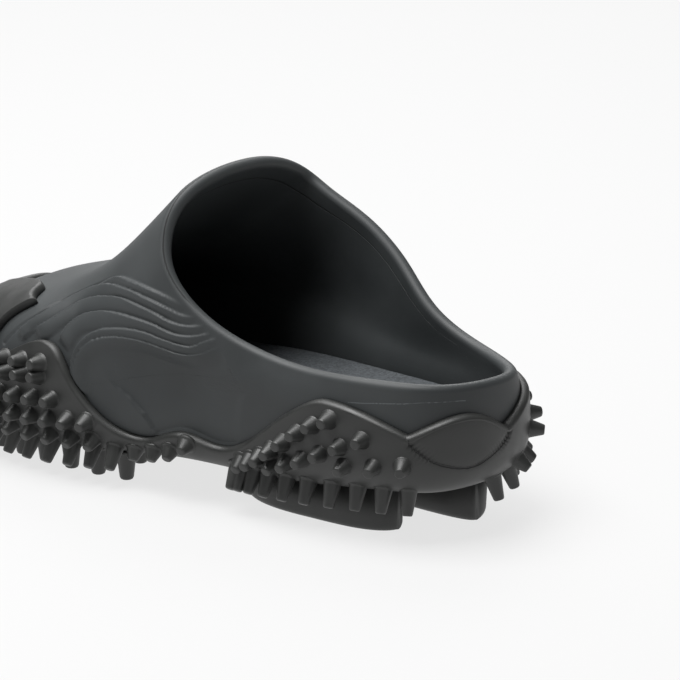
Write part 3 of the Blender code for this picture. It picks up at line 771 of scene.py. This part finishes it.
def smooth_line(points, steps=16):
    """Dense (rib, share) points of a smooth curve through a few given ones."""
    points = np.array(points, dtype=float)
    padded = np.vstack([2 * points[0] - points[1], points, 2 * points[-1] - points[-2]])
    dense = []
    for a, b, c, d in zip(padded[:-3], padded[1:-2], padded[2:-1], padded[3:]):
        for t in np.arange(steps) / steps:
            dense.append(0.5 * (2 * b + (c - a) * t + (2 * a - 5 * b + 4 * c - d) * t * t
                                + (3 * b - a - 3 * c + d) * t ** 3))
    return np.array(dense + [points[-1]])


def length_along(points):
    """Length of a row of points up to each one."""
    return np.concatenate([[0], np.cumsum(np.linalg.norm(np.diff(points, axis=0), axis=1))])


def line_on(place, outward):
    """Places of a curve, the direction across it on the surface and its length so far."""
    run = np.gradient(place, axis=0)
    run /= np.linalg.norm(run, axis=1)[:, None]
    return place, np.cross(run, outward), length_along(place)


def surface_line(points, offset=0.0):
    """Curve on the shell, or at an offset from it, through a few (rib, share) points."""
    rib, share = smooth_line(points).T
    place = shell_offset(rib, share, np.full(len(rib), offset))
    return line_on(place, shell_normal(rib, share)[0])


def rim_line(first_rib, last_rib, turn):
    """Curve along the rim, at an angle round it from the outside over the top."""
    rib = np.linspace(first_rib, last_rib, RIM_STEPS)
    normal, up = shell_normal(rib, 1.0)
    outward = normal * math.cos(turn) + up * math.sin(turn)
    return line_on(shell_point(rib, 1.0) + (outward - normal) * SHELL_WALL / 2, outward)


def distance_to(line, points, near):
    """Signed distance in mm of points to a curve, and how far along it they lie, where near."""
    place, across, length = line
    signed = np.full(len(points), FAR)
    along = np.zeros(len(points))
    chosen = np.flatnonzero(near)
    for part in np.array_split(chosen, max(1, len(chosen) // AT_ONCE)):
        gap = points[part][:, None, :] - place[None, :, :]
        best = np.argmin((gap ** 2).sum(2), axis=1)
        offset = gap[np.arange(len(part)), best]
        side = np.sign((offset * across[best]).sum(1))
        signed[part] = side * np.linalg.norm(offset, axis=1) / MM
        along[part] = length[best]
    return signed, along


# %% Crests of the relief
# Each crest has its height, the width over which it falls away and the length over which
# it begins, in mm, and its (rib, share) points from the front end to the collar.
CRESTS = {
    "first": (1.30, 3.6, 30.0, (
        (5.57, 0.33), (5.60, 0.44), (5.65, 0.56), (5.78, 0.65), (5.95, 0.72), (6.05, 0.78),
        (6.03, 0.84), (5.84, 0.89), (5.46, 0.925), (5.08, 0.96), (4.79, 0.985), (4.58, 0.997))),
    "second": (1.80, 5.5, 4.0, (
        (5.52, 0.40), (5.59, 0.58), (5.70, 0.67), (5.85, 0.74), (5.93, 0.80), (5.80, 0.85),
        (5.41, 0.895), (5.08, 0.925), (4.79, 0.95), (4.53, 0.97), (4.38, 0.995))),
    "third": (1.90, 6.0, 4.0, (
        (5.42, 0.46), (5.43, 0.57), (5.52, 0.67), (5.62, 0.745), (5.56, 0.80), (5.34, 0.85),
        (5.06, 0.88), (4.78, 0.905), (4.52, 0.92), (4.35, 0.95), (4.21, 0.995))),
    "fourth": (1.90, 6.5, 4.0, (
        (5.13, 0.45), (5.17, 0.52), (5.25, 0.61), (5.30, 0.69), (5.23, 0.75), (5.05, 0.79),
        (4.85, 0.82), (4.63, 0.85), (4.40, 0.865), (4.25, 0.90), (4.08, 0.985))),
    "fifth": (1.50, 4.0, 2.0, (
        (4.74, 0.20), (4.80, 0.27), (4.88, 0.365), (4.95, 0.50), (4.97, 0.625), (4.90, 0.685),
        (4.77, 0.735), (4.60, 0.77), (4.40, 0.785), (4.14, 0.825), (4.06, 0.92), (3.97, 0.985))),
    "panel": (1.50, 6.0, 2.0, (
        (4.71, 0.18), (4.76, 0.24), (4.83, 0.335), (4.88, 0.46), (4.87, 0.565), (4.79, 0.63),
        (4.65, 0.67), (4.48, 0.695), (4.29, 0.705), (4.11, 0.72), (3.98, 0.79), (3.88, 0.95))),
}
CREASE_ABOVE = 0.6           # mm from the crest up to its crease
CREST_BELOW = 0.35           # mm from the curve down to the top of the roll
LEAST_SPACING = 1.2          # mm that a roll's back has at least
FADE_AT_COLLAR = 16.0        # mm over which a roll dies away at the collar
FADE_POWER = 0.7             # below 1, the roll keeps its height longer
FRONT_GROOVE = (40.0, 62.0)  # mm along the first curve over which its groove becomes a roll
GROOVE_DEPTH = 0.80          # mm
GROOVE_REACH = 0.6           # mm to each side
PANEL_DEPTH = 3.0            # mm that the smooth panel lies below the rolls at its deepest
PANEL_RUN = 9.0              # mm from the panel's edge to its deepest place
PANEL_START = (22.0, 50.0)   # mm along its edge over which the panel begins to sink
ROUND_BACK = 0.75            # power of a roll's back, which ends steeply above the next crest
SOFT_BACK = 1.8              # the same for the last roll, which runs out into the panel
RELIEF_RIBS = (3.3, 6.6)     # ribs between which the relief lies


def smooth_step(value, low, high):
    """0 below low, 1 above high, smooth between."""
    t = np.clip((value - low) / (high - low), 0, 1)
    return t * t * (3 - 2 * t)


def roll(signed, fall, round_back):
    """Height of a roll at a signed distance below its crest, from 0 to 1: a steep step, then
    a round back that is steepest where the next crest begins."""
    rise = smooth_step(signed, -CREASE_ABOVE, CREST_BELOW)
    back = np.clip((signed - CREST_BELOW) / fall, 0, 1)
    return rise * (1 - back ** 2) ** round_back


def relief(rib, points):
    """How far in metres each point of the outer wall moves out, on both sides of the shoe."""
    height = np.zeros(len(rib))
    sunk = np.zeros(len(rib))
    for mirrored in (False, True):
        side_rib = np.where(rib > RIB_COUNT / 2, RIB_COUNT - rib, rib)
        near = (rib > RIB_COUNT / 2) == mirrored
        near &= (side_rib > RELIEF_RIBS[0]) & (side_rib < RELIEF_RIBS[1])
        below, along, end = {}, {}, {}
        for name, (_, _, _, places) in CRESTS.items():
            if mirrored:
                places = [(RIB_COUNT - place, up) for place, up in places]
            line = surface_line(places)
            signed, along[name] = distance_to(line, points, near)
            below[name] = np.where(near, -signed if mirrored else signed, FAR)
            end[name] = line[2][-1]
        names = list(CRESTS)
        for name, following in zip(names, names[1:] + [None]):
            tall, fall, fade_in, _ = CRESTS[name]
            spacing, back = fall, SOFT_BACK
            if following is not None:
                spacing = np.clip(below[name] - below[following], LEAST_SPACING, fall)
                back = ROUND_BACK
            fade = smooth_step(along[name], 0, fade_in * MM)
            to_collar = np.clip((end[name] - along[name]) / (FADE_AT_COLLAR * MM), 0, 1)
            fade *= to_collar ** FADE_POWER * near
            if name == "first":
                at_front = 1 - smooth_step(along[name], FRONT_GROOVE[0] * MM, FRONT_GROOVE[1] * MM)
                fade *= 1 - at_front
                groove = np.exp(-(below[name] / GROOVE_REACH) ** 2) * (along[name] > 0)
                sunk -= GROOVE_DEPTH * at_front * groove
            if name == "panel":
                run = np.clip(below[name], 0, None) / PANEL_RUN
                begun = smooth_step(along[name], PANEL_START[0] * MM, PANEL_START[1] * MM)
                sunk -= PANEL_DEPTH * fade * begun * run * np.exp(1 - run)
            height = np.maximum(height, tall * fade * roll(below[name], spacing, back))
    return (height + sunk) * MM


print(len(CRESTS), "crests on each side")

# %% [markdown]
# ## Upper
#
# The shell is one skin: it climbs the outside from the bottom's edge, turns over the rim,
# goes down inside to the seat of the footbed, and two lids close it. The rim is a full
# round of the wall's thickness. The parting line on the heel and the creases on the side
# and round the rim are finer than the mesh, so the mesh carries the distance to them for
# the shader, which paints a highlight on the parting line and shade in the creases.

# %% Upper
UPPER_AROUND = 528
HIDDEN_ROWS = 6
WALL_ROWS = 136
RIM_ROWS = 12
INNER_ROWS = 16
LID_ROWS = 6
CROWDING = 1.7               # power that crowds hidden rows at the end that shows
LINE_END = 2.0               # mm over which a drawn line thins out at each end
LINE_REACH = 20.0            # mm, the largest distance that the mesh carries
PARTING = surface_line(((2.20, 0.79), (1.97, 0.828), (1.72, 0.870), (1.46, 0.895), (1.13, 0.922),
                        (0.65, 0.922), (0.46, 0.905)))
SIDE_CREASE = surface_line(((4.39, 0.297), (4.24, 0.338), (4.08, 0.388), (3.89, 0.445),
                            (3.69, 0.505)))
RIM_CREASE = rim_line(first_rib=4.6, last_rib=13.0, turn=math.radians(48))


def upper_profile(rib, v):
    """Point round the shell's wall: v climbs the outside, turns over the rim, goes down inside."""
    row = np.rint(v * (HIDDEN_ROWS + WALL_ROWS + RIM_ROWS + INNER_ROWS))
    edge = from_table(WAVE_TABLE, rib)
    in_cup = share_done(row, 0, HIDDEN_ROWS) ** CROWDING
    above_cup = share_done(row, HIDDEN_ROWS, WALL_ROWS)
    turn = share_done(row, HIDDEN_ROWS + WALL_ROWS, RIM_ROWS) * math.pi
    inside = share_done(row, HIDDEN_ROWS + WALL_ROWS + RIM_ROWS, INNER_ROWS)
    down = 1 - (1 - inside) ** CROWDING
    share = edge * in_cup + (1 - edge) * above_cup - down * (1 - from_table(SEAT_TABLE, rib))
    normal, up = shell_normal(rib, share)
    point = shell_point(rib, share)
    outside = (turn == 0) & (row > HIDDEN_ROWS)
    moved = np.zeros(len(rib))
    if outside.any():
        moved[outside] = relief(rib[outside], point[outside])
    radius = SHELL_WALL / 2
    across = normal * ((np.cos(turn) - 1) * radius + moved)[:, None]
    return point + across + up * (np.sin(turn) * radius)[:, None]


def add_distances(piece, name, lines):
    """Write the signed distance to the nearest of some curves, in mm, on a piece's points."""
    points = np.array([vert.co for vert in piece.data.vertices]) - np.array(SHIFT)
    nearest = np.full(len(points), FAR)
    for line in lines:
        signed, along = distance_to(line, points, np.ones(len(points), dtype=bool))
        half = line[2][-1] / 2
        past = np.clip(np.abs(along - half) - half + LINE_END * MM, 0, None) / MM
        signed = np.where(signed < 0, signed - past, signed + past)
        nearest = np.where(np.abs(signed) < np.abs(nearest), signed, nearest)
    layer = piece.data.attributes.new(name, "FLOAT", "POINT")
    kept = np.clip(nearest, -LINE_REACH, LINE_REACH)
    layer.data.foreach_set("value", kept.astype(np.float32))


def make_upper():
    """Foam shell: wall, rim, seat of the footbed and underside, one closed skin."""
    bm = bmesh.new()
    rows = HIDDEN_ROWS + WALL_ROWS + RIM_ROWS + INNER_ROWS
    add_sheet(bm, UPPER_AROUND, rows, lambda u, v: upper_profile(rib_of(u), v))
    add_sheet(bm, UPPER_AROUND // 2, LID_ROWS,
              lid(lambda rib: upper_profile(rib, np.zeros(len(rib))), underside))
    add_sheet(bm, UPPER_AROUND // 2, LID_ROWS,
              lid(lambda rib: upper_profile(rib, np.ones(len(rib))), seat))
    made = finish_object(bm, "foam_shell", foam)
    add_distances(made, "parting", [PARTING])
    add_distances(made, "crease", [SIDE_CREASE, RIM_CREASE])
    return made


upper = make_upper()

# %% [markdown]
# ## Rubber cup
#
# The cup is a wall of 3 mm round the shell, closed under it. Its top edge follows the wave
# and is rounded off, which catches the light all along the wave. Under the foot it turns
# in with a soft edge. The almond panel behind the heel is sunk by a third of a millimetre,
# and a groove runs round its lower side, deepened by a line of painted shade in the shader.
# Its face is plain.

# %% Rubber cup
RUBBER = 0.003
TREAD_BASE = 0.0037
CUP_AROUND = 544
CUP_INNER_ROWS = 8
CUP_EDGE_ROWS = 8
CUP_WALL_ROWS = 64
CUP_UNDER_ROWS = 6
UNDER_LID_ROWS = 12
EDGE_ROUND = 0.0019          # height of the rounding of the rubber's top edge
EDGE_LIP = 0.12              # share of the wall that the very edge keeps
ALMOND = ((1.34, 0.292), (1.30, 0.245), (1.24, 0.215), (1.12, 0.178), (0.95, 0.145), (0.67, 0.120),
          (0.49, 0.117), (0.34, 0.127), (0.10, 0.158), (-0.04, 0.187), (-0.12, 0.215),
          (-0.13, 0.255))
ALMOND_SINK = 0.35           # mm
ALMOND_EDGE = (-0.1, 0.5)    # mm inside the outline over which the panel sinks
ALMOND_GROOVE = 0.90         # mm
ALMOND_REACH = 0.5           # mm from the outline to each side of the groove
ALMOND_RIBS = (-0.14, 1.35)  # ribs between which the panel lies
ALMOND_NEAR = (-0.5, 1.7)    # ribs that are measured for it
PAST_TIPS = 0.8              # mm beside the outline that still counts past its two tips


def share_of(rib, share, distance):
    """Share of a rib that covers a distance along the shell near a point."""
    low, high = np.clip(share - SMALL_STEP, 0, 1), np.clip(share + SMALL_STEP, 0, 1)
    run = shell_point(rib, high) - shell_point(rib, low)
    return distance * 2 * SMALL_STEP / np.linalg.norm(run, axis=1)


def almond_relief(rib, points):
    """How far in metres the rubber's face sinks in and round the almond panel."""
    line = surface_line(ALMOND, GAP + RUBBER)
    centred = np.where(rib > RIB_COUNT / 2, rib - RIB_COUNT, rib)
    near = (centred > ALMOND_NEAR[0]) & (centred < ALMOND_NEAR[1])
    signed, _ = distance_to(line, points, near)
    sink = ALMOND_SINK * smooth_step(-signed, *ALMOND_EDGE)
    sink += ALMOND_GROOVE * np.exp(-(signed / ALMOND_REACH) ** 2)
    counts = (centred > ALMOND_RIBS[0]) & (centred < ALMOND_RIBS[1])
    counts |= np.abs(signed) < PAST_TIPS
    return np.where(near & counts, -sink * MM, 0)


def cup_profile(rib, v):
    """Point round the cup's wall: up inside, over the edge, down outside and in underneath."""
    row = np.rint(v * (CUP_INNER_ROWS + CUP_EDGE_ROWS + CUP_WALL_ROWS + CUP_UNDER_ROWS))
    edge = from_table(WAVE_TABLE, rib)
    climb = share_done(row, 0, CUP_INNER_ROWS) ** CROWDING
    turn = share_done(row, CUP_INNER_ROWS, CUP_EDGE_ROWS) * math.pi / 2
    down = share_done(row, CUP_INNER_ROWS + CUP_EDGE_ROWS, CUP_WALL_ROWS)
    under = share_done(row, CUP_INNER_ROWS + CUP_EDGE_ROWS + CUP_WALL_ROWS, CUP_UNDER_ROWS)
    bevel = share_of(rib, edge, EDGE_ROUND)
    share = edge * climb - bevel * (1 - np.cos(turn))
    share = np.where(down > 0, (edge - bevel) * (1 - down), share)
    wall = np.where(row <= CUP_INNER_ROWS, 0, RUBBER * (EDGE_LIP + (1 - EDGE_LIP) * np.sin(turn)))
    wall = np.where(down > 0, RUBBER + (TREAD_BASE - RUBBER) * down, wall)
    normal, _ = shell_normal(rib, share)
    down_turn = under * math.pi / 2
    flat = normal * np.cos(down_turn)[:, None]
    flat[:, 2] -= np.sin(down_turn)
    flat /= np.linalg.norm(flat, axis=1)[:, None]
    point = shell_point(rib, share) + flat * (GAP + wall)[:, None]
    face = (down > 0) & (under == 0)
    if face.any():
        point[face] += normal[face] * almond_relief(rib[face], point[face])[:, None]
    return point


def make_cup():
    """Rubber cup with its wave edge."""
    bm = bmesh.new()
    rows = CUP_INNER_ROWS + CUP_EDGE_ROWS + CUP_WALL_ROWS + CUP_UNDER_ROWS
    add_sheet(bm, CUP_AROUND, rows, lambda u, v: cup_profile(rib_of(u), v))
    add_sheet(bm, CUP_AROUND // 2, LID_ROWS,
              lid(lambda rib: cup_profile(rib, np.zeros(len(rib))), lambda y: underside(y) - GAP))
    add_sheet(bm, CUP_AROUND // 2, UNDER_LID_ROWS,
              lid(lambda rib: cup_profile(rib, np.ones(len(rib))),
                  lambda y: underside(y) - GAP - TREAD_BASE))
    made = finish_object(bm, "rubber_cup", rubber)
    add_distances(made, "groove", [surface_line(ALMOND, GAP + RUBBER)])
    return made


cup = make_cup()

# %% [markdown]
# ## Studs
#
# The studs are blunt cones, about 6 mm across at the root and 4 mm at the tip. A short
# profile is spun round its axis: a small fillet at the root, the cone, and a rounded edge
# at the flat tip. It is made once for each row and copied to every place. The rows of the
# side follow the ribs and close up towards the sole's edge, as the real ones do.

# %% Studs
STUD_BASE = 0.0032
STUD_TIP = 0.0018
STUD_LENGTH = 0.0056
STUD_ROOT = 0.0010
STUD_FILLET = 0.22           # share of the root's radius
STUD_ROUNDING = 0.32         # share of the tip's radius
GROUND_BASE = 0.0037
GROUND_TIP = 0.0024
GROUND_PITCH = 0.0120
GROUND_INSET = 0.0045
GROUND_ROWS = 0.0180         # from one row to the next
GROUND_SPREAD = 0.45         # share by which the pitch grows with each row
GROUND_LONGEST = 0.0105
STUD_STEPS = 16
EDGE_STEP = 1e-2             # in ribs, to measure the edge's direction
FINE = 240                   # points that measure the sole's edge

# First rib, first share up, last rib, last share up, number of studs, share of STUD_LENGTH,
# share by which the studs close up along the row, and share of straight down in their axis.
STUDS = {
    "heel_lat_crest": (2.27, 0.455, 3.23, 0.065, 8, 1.0, 0.35, 0.0),
    "heel_lat_upper": (1.88, 0.250, 2.90, 0.080, 6, 1.0, 0.30, 0.0),
    "heel_lat_lower": (1.40, 0.131, 2.10, 0.110, 3, 1.0, 0.0, 0.0),
    "heel_lat_edge": (1.37, 0.006, 3.32, 0.030, 10, 1.6, 0.80, 0.25),
    "heel_med_crest": (13.73, 0.455, 12.85, 0.065, 7, 1.0, 0.35, 0.0),
    "heel_med_upper": (14.12, 0.250, 13.10, 0.080, 6, 1.0, 0.30, 0.0),
    "heel_med_back": (15.10, 0.150, 14.50, 0.240, 3, 1.0, 0.0, 0.0),
    "heel_med_lower": (15.45, 0.060, 14.75, 0.060, 3, 1.0, 0.0, 0.0),
    "heel_med_edge": (15.83, 0.006, 12.70, 0.030, 9, 1.6, 0.50, 0.25),
    "ball_lat_crest": (5.40, 0.280, 5.07, 0.305, 3, 1.0, 0.0, 0.0),
    "ball_lat_second": (5.46, 0.225, 5.03, 0.250, 4, 1.0, 0.0, 0.0),
    "ball_lat_third": (5.50, 0.155, 4.88, 0.170, 5, 1.0, 0.0, 0.0),
    "ball_lat_fourth": (5.50, 0.100, 4.59, 0.112, 7, 1.0, 0.0, 0.0),
    "ball_lat_fifth": (5.42, 0.060, 4.57, 0.052, 6, 1.0, 0.0, 0.0),
    "ball_lat_edge": (5.48, 0.008, 4.44, 0.015, 7, 1.6, 0.0, 0.0),
    "arch_lat": (4.28, 0.012, 3.76, 0.080, 4, 0.8, 0.0, 0.0),
    "toe_crest": (6.00, 0.310, 8.05, 0.270, 5, 1.0, 0.0, 0.0),
    "toe_upper": (5.80, 0.190, 10.20, 0.130, 10, 1.0, 0.0, 0.0),
    "toe_lower": (5.66, 0.080, 10.34, 0.080, 11, 1.0, 0.0, 0.0),
}
for name, (first_rib, first_up, last_rib, last_up, *others) in list(STUDS.items()):
    if name.startswith(("ball_lat", "arch_lat")):
        STUDS[name.replace("_lat", "_med")] = (RIB_COUNT - first_rib, first_up,
                                               RIB_COUNT - last_rib, last_up, *others)
# First and last rib of each row.
GROUND_STUDS = {
    "outer": (4.45, 11.55),
    "middle": (4.57, 11.43),
    "inner": (4.69, 11.31),
}


def stud_mesh(length, wide, narrow):
    """One stud along +Z, its root sunk below z = 0."""
    fillet, rounding = wide * STUD_FILLET, narrow * STUD_ROUNDING
    profile = [(0, -STUD_ROOT), (wide + fillet, -STUD_ROOT), (wide + fillet, 0),
               (wide + fillet * 0.3, fillet * 0.35), (wide - fillet * 0.1, fillet * 1.2),
               (narrow + rounding * 0.25, length - rounding * 1.1),
               (narrow - rounding * 0.1, length - rounding * 0.35),
               (narrow - rounding * 0.6, length - rounding * 0.03),
               (narrow - rounding * 1.4, length), (0, length)]
    bm = bmesh.new()
    verts = [bm.verts.new((radius, 0, height)) for radius, height in profile]
    edges = [bm.edges.new(pair) for pair in zip(verts, verts[1:])]
    bmesh.ops.spin(bm, geom=verts + edges, cent=(0, 0, 0), axis=(0, 0, 1), dvec=(0, 0, 0),
                   angle=math.tau, steps=STUD_STEPS, use_merge=True)
    bmesh.ops.remove_doubles(bm, verts=bm.verts, dist=1e-6)
    bmesh.ops.recalc_face_normals(bm, faces=bm.faces)
    mesh = bpy.data.meshes.new("stud")
    bm.to_mesh(mesh)
    bm.free()
    return mesh


def copy_to(bm, mesh, base, axis):
    """Copy a stud into bm so that it stands on base along axis."""
    start = len(bm.verts)
    bm.from_mesh(mesh)
    bm.verts.ensure_lookup_table()
    place = Matrix.Translation(base) @ axis.to_track_quat("Z", "Y").to_matrix().to_4x4()
    bmesh.ops.transform(bm, matrix=place, verts=bm.verts[start:])


def foot_edge(rib, inset):
    """Point on the bottom's edge, moved in by a distance in plan."""
    run = shell_point(rib + EDGE_STEP, 0) - shell_point(rib - EDGE_STEP, 0)
    inward = np.stack([run[:, 1], -run[:, 0]], axis=1)
    inward /= np.linalg.norm(inward, axis=1)[:, None]
    point = shell_point(rib, 0)
    point[:, :2] += inward * inset
    return point


def make_side_studs():
    """Studs of the cup's side, in rows along the ribs; up goes in equal ratios."""
    bm = bmesh.new()
    count = 0
    for first_rib, first_up, last_rib, last_up, studs, length, closing, down in STUDS.values():
        step = np.linspace(0, 1, studs)
        step *= 1 + closing - closing * step
        rib = first_rib + (last_rib - first_rib) * step
        up = first_up * (last_up / first_up) ** step
        base = shell_offset(rib, up, np.full(studs, GAP + RUBBER))
        axes, _ = shell_normal(rib, up)
        axes[:, 2] -= down
        axes /= np.linalg.norm(axes, axis=1)[:, None]
        one = stud_mesh(length * STUD_LENGTH, STUD_BASE, STUD_TIP)
        for point, axis in zip(base, axes):
            copy_to(bm, one, Vector(point), Vector(axis))
        count += studs
    print(count, "studs on the side")
    return finish_object(bm, "side_studs", stud_rubber, merge=1e-7)


def make_ground_studs():
    """Studs under the forefoot, in rows that follow the bottom's edge round the toe."""
    bm = bmesh.new()
    count = 0
    for row, (first_rib, last_rib) in enumerate(GROUND_STUDS.values()):
        inset = GROUND_INSET + row * GROUND_ROWS
        fine = foot_edge(np.linspace(first_rib, last_rib, FINE), inset)
        run = length_along(fine[:, :2])
        studs = round(run[-1] / (GROUND_PITCH * (1 + GROUND_SPREAD * row))) + 1
        stops = np.linspace(0, run[-1], studs)
        for x, y in zip(np.interp(stops, run, fine[:, 0]), np.interp(stops, run, fine[:, 1])):
            tread = float(underside(y)) - GAP - TREAD_BASE
            tip = max(0.0, tread - GROUND_LONGEST)
            one = stud_mesh(tread - tip, GROUND_BASE, GROUND_TIP)
            copy_to(bm, one, Vector((x, y, tread)), Vector((0, 0, -1)))
        count += studs
    print(count, "studs under the forefoot")
    return finish_object(bm, "ground_studs", stud_rubber, merge=1e-7)


side_studs = make_side_studs()
ground_studs = make_ground_studs()

# %% [markdown]
# ## Heel pads
#
# Two smooth pads carry the heel, with an open channel between them. Each is a low block
# that follows the sole's edge outside and the channel inside. A grid is wrapped round its
# section, with rounded lower corners, and the section narrows to nothing at both ends.

# %% Heel pads
CHANNEL_WIDTH = 0.0130
CHANNEL_SIDE = -0.0055
PAD_DRAFT = 0.0015
PAD_CORNER = 0.0060
PAD_SINK = 0.0012            # top of a pad inside the tread
PAD_ROUND = 0.0024           # rounding of a pad's lower edge
PAD_REAR = 4.0               # how square a pad's rear end is, 2 being round
PAD_FRONT = 2.2
PAD_THIN = 0.45              # largest share of a pad's width that one rounding takes
# First and last share of BODY_LENGTH, and the side of the channel.
PADS = {
    "lateral": (0.110, 0.355, -1),
    "medial": (0.055, 0.360, 1),
}
PAD_STATIONS = 72
CORNER_ROWS = 6


def make_pad(name, first, last, side):
    """Heel pad with rounded lower edges and ends."""
    ring = foot_edge(np.linspace(0, RIB_COUNT / 2, FINE) * -side, 0.0)
    ring = ring[np.argsort(ring[:, 1])]
    rows = 2 * CORNER_ROWS + 4

    def place(u, v):
        run = -np.cos(u * math.pi)
        y = (first + (last - first) * (run + 1) / 2) * BODY_LENGTH
        square = np.where(run < 0, PAD_REAR, PAD_FRONT)
        full = np.clip(1 - np.abs(run) ** square, 0, 1) ** (1 / square)
        inner = CHANNEL_SIDE + side * (CHANNEL_WIDTH / 2 + PAD_CORNER * (1 - full))
        outer = inner + (np.interp(y, ring[:, 1], ring[:, 0]) - side * PAD_DRAFT - inner) * full
        row = np.rint(v * rows) % rows
        top = underside(y) - GAP - TREAD_BASE + PAD_SINK
        corner = np.minimum(PAD_ROUND, np.abs(outer - inner) * PAD_THIN)
        angle = share_done(row, 1, CORNER_ROWS) * math.pi / 2
        second = share_done(row, 2 + CORNER_ROWS, CORNER_ROWS) * math.pi / 2
        out_x = outer - side * corner * (1 - np.cos(angle))
        out_z = corner * (1 - np.sin(angle))
        in_x = inner + side * corner * (1 - np.sin(second))
        in_z = corner * (1 - np.cos(second))
        on_outer = row <= CORNER_ROWS + 1
        x = np.where(on_outer, out_x, in_x)
        z = np.where(on_outer, out_z, in_z)
        x = np.where(row == rows - 1, inner, x)
        x = np.where(row == 0, outer + side * PAD_DRAFT * full, x)
        z = np.where((row == 0) | (row == rows - 1), top, z)
        return np.stack([x, y, z], axis=1)

    bm = bmesh.new()
    add_sheet(bm, PAD_STATIONS, rows, place)
    return finish_object(bm, "heel_pad_" + name, stud_rubber)


pads = [make_pad(name, *row) for name, row in PADS.items()]

# %% [markdown]
# ## Footbed
#
# The footbed lies loose in the shell. It is a board of 4 mm with a rounded upper edge. It
# is soft, so the frame is told that it is padded, which lets it press against the shell.

# %% Footbed
FOOTBED = 0.004
FOOTBED_FIT = 0.001
FOOTBED_ROUND = 0.0012
FOOTBED_AROUND = 320
BOARD_EDGE_ROWS = 8
BOARD_LID_ROWS = 24


def make_footbed():
    """Removable footbed that fills the seat, with a clearance all round."""
    low = share_at_height(TABLE_RIBS, lambda y: seat(y) + GAP, SHELL_WALL + FOOTBED_FIT)
    high = share_at_height(TABLE_RIBS, lambda y: seat(y) + GAP + FOOTBED, SHELL_WALL + FOOTBED_FIT)

    def edge(rib, v):
        turn = np.clip(v * 2 - 1, 0, 1) * math.pi / 2
        climb = np.clip(v * 2, 0, 1)
        height = climb * (FOOTBED - FOOTBED_ROUND) + np.sin(turn) * FOOTBED_ROUND
        up_rib = from_table(low, rib)
        up_rib = up_rib + (from_table(high, rib) - up_rib) * height / FOOTBED
        inset = SHELL_WALL + FOOTBED_FIT + FOOTBED_ROUND * (1 - np.cos(turn))
        point = shell_offset(rib, up_rib, -inset)
        point[:, 2] = seat(point[:, 1]) + GAP + height
        return point

    bm = bmesh.new()
    add_sheet(bm, FOOTBED_AROUND, BOARD_EDGE_ROWS, lambda u, v: edge(rib_of(u), v))
    add_sheet(bm, FOOTBED_AROUND // 2, BOARD_LID_ROWS,
              lid(lambda rib: edge(rib, np.zeros(len(rib))), lambda y: seat(y) + GAP))
    add_sheet(bm, FOOTBED_AROUND // 2, BOARD_LID_ROWS,
              lid(lambda rib: edge(rib, np.ones(len(rib))), lambda y: seat(y) + GAP + FOOTBED))
    return finish_object(bm, "footbed", board)


footbed = make_footbed()

# %% [markdown]
# ## What each piece stands for
#
# Each piece rides on the shoe's one body and stands for its solid, which is hidden.

# %% Pieces and the frame
for piece, node, slot in (
    (upper, "upper", "moulded_foam"),
    (cup, "outsole", "moulded_rubber"),
    (side_studs, "outsole", "moulded_rubber"),
    (ground_studs, "outsole", "moulded_rubber"),
    (pads[0], "outsole", "moulded_rubber"),
    (pads[1], "outsole", "moulded_rubber"),
    (footbed, "insole", "footbed_foam"),
):
    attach(piece, "root")
    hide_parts(node)

# %% [markdown]
# ## Studio
#
# The photograph shows a near-white sweep with a soft contact shadow. The floor glows a
# little by itself, so that it stays near white, and its grey shade takes the shadow. One
# large soft light overhead draws the gloss on the rim and on the rolls, a weaker one from
# the far side lights the far rim, and a dim even surround fills the shade.

# %% Floor and light
FLOOR_COLOUR = "fafafa"
FLOOR_SHADE = "5a5a5a"       # the part that takes a shadow
FLOOR_GLOW = 0.775
FLOOR_SIZE = 8.0
OVERHEAD = (1.0, 30.0, (-0.25, 0.2, 1.2))    # size in metres, power in watts, place
BEHIND = (1.0, 11.0, (0.9, 0.75, 1.0))
LIT_POINT = (0, 0, 0.05)
SURROUND = 0.17


def make_floor():
    """Pale floor under the shoe."""
    bm = bmesh.new()
    bmesh.ops.create_grid(bm, x_segments=2, y_segments=2, size=FLOOR_SIZE / 2)
    mesh = bpy.data.meshes.new("floor")
    bm.to_mesh(mesh)
    bm.free()
    made = bpy.data.objects.new("floor", mesh)
    paper, _, shader = new_material("pale_paper", FLOOR_SHADE, 0.9, 1.4)
    shader.inputs["Emission Color"].default_value = linear(FLOOR_COLOUR)
    shader.inputs["Emission Strength"].default_value = FLOOR_GLOW
    mesh.materials.append(paper)
    bpy.context.scene.collection.objects.link(made)
    return made


def add_light(name, size, power, place, target):
    """Square area light at a place, turned to a target."""
    data = bpy.data.lights.new(name, "AREA")
    data.shape = "SQUARE"
    data.size = size
    data.energy = power
    made = bpy.data.objects.new(name, data)
    made.location = place
    made.rotation_euler = (Vector(place) - Vector(target)).to_track_quat("Z", "Y").to_euler()
    bpy.context.scene.collection.objects.link(made)


floor = make_floor()
add_light("overhead", *OVERHEAD, LIT_POINT)
add_light("behind", *BEHIND, LIT_POINT)
surround = bpy.data.worlds.new("surround")
surround.use_nodes = True
background = surround.node_tree.nodes["Background"]
background.inputs["Color"].default_value = (1, 1, 1, 1)
background.inputs["Strength"].default_value = SURROUND
bpy.context.scene.world = surround
bpy.context.scene.view_settings.view_transform = "Standard"
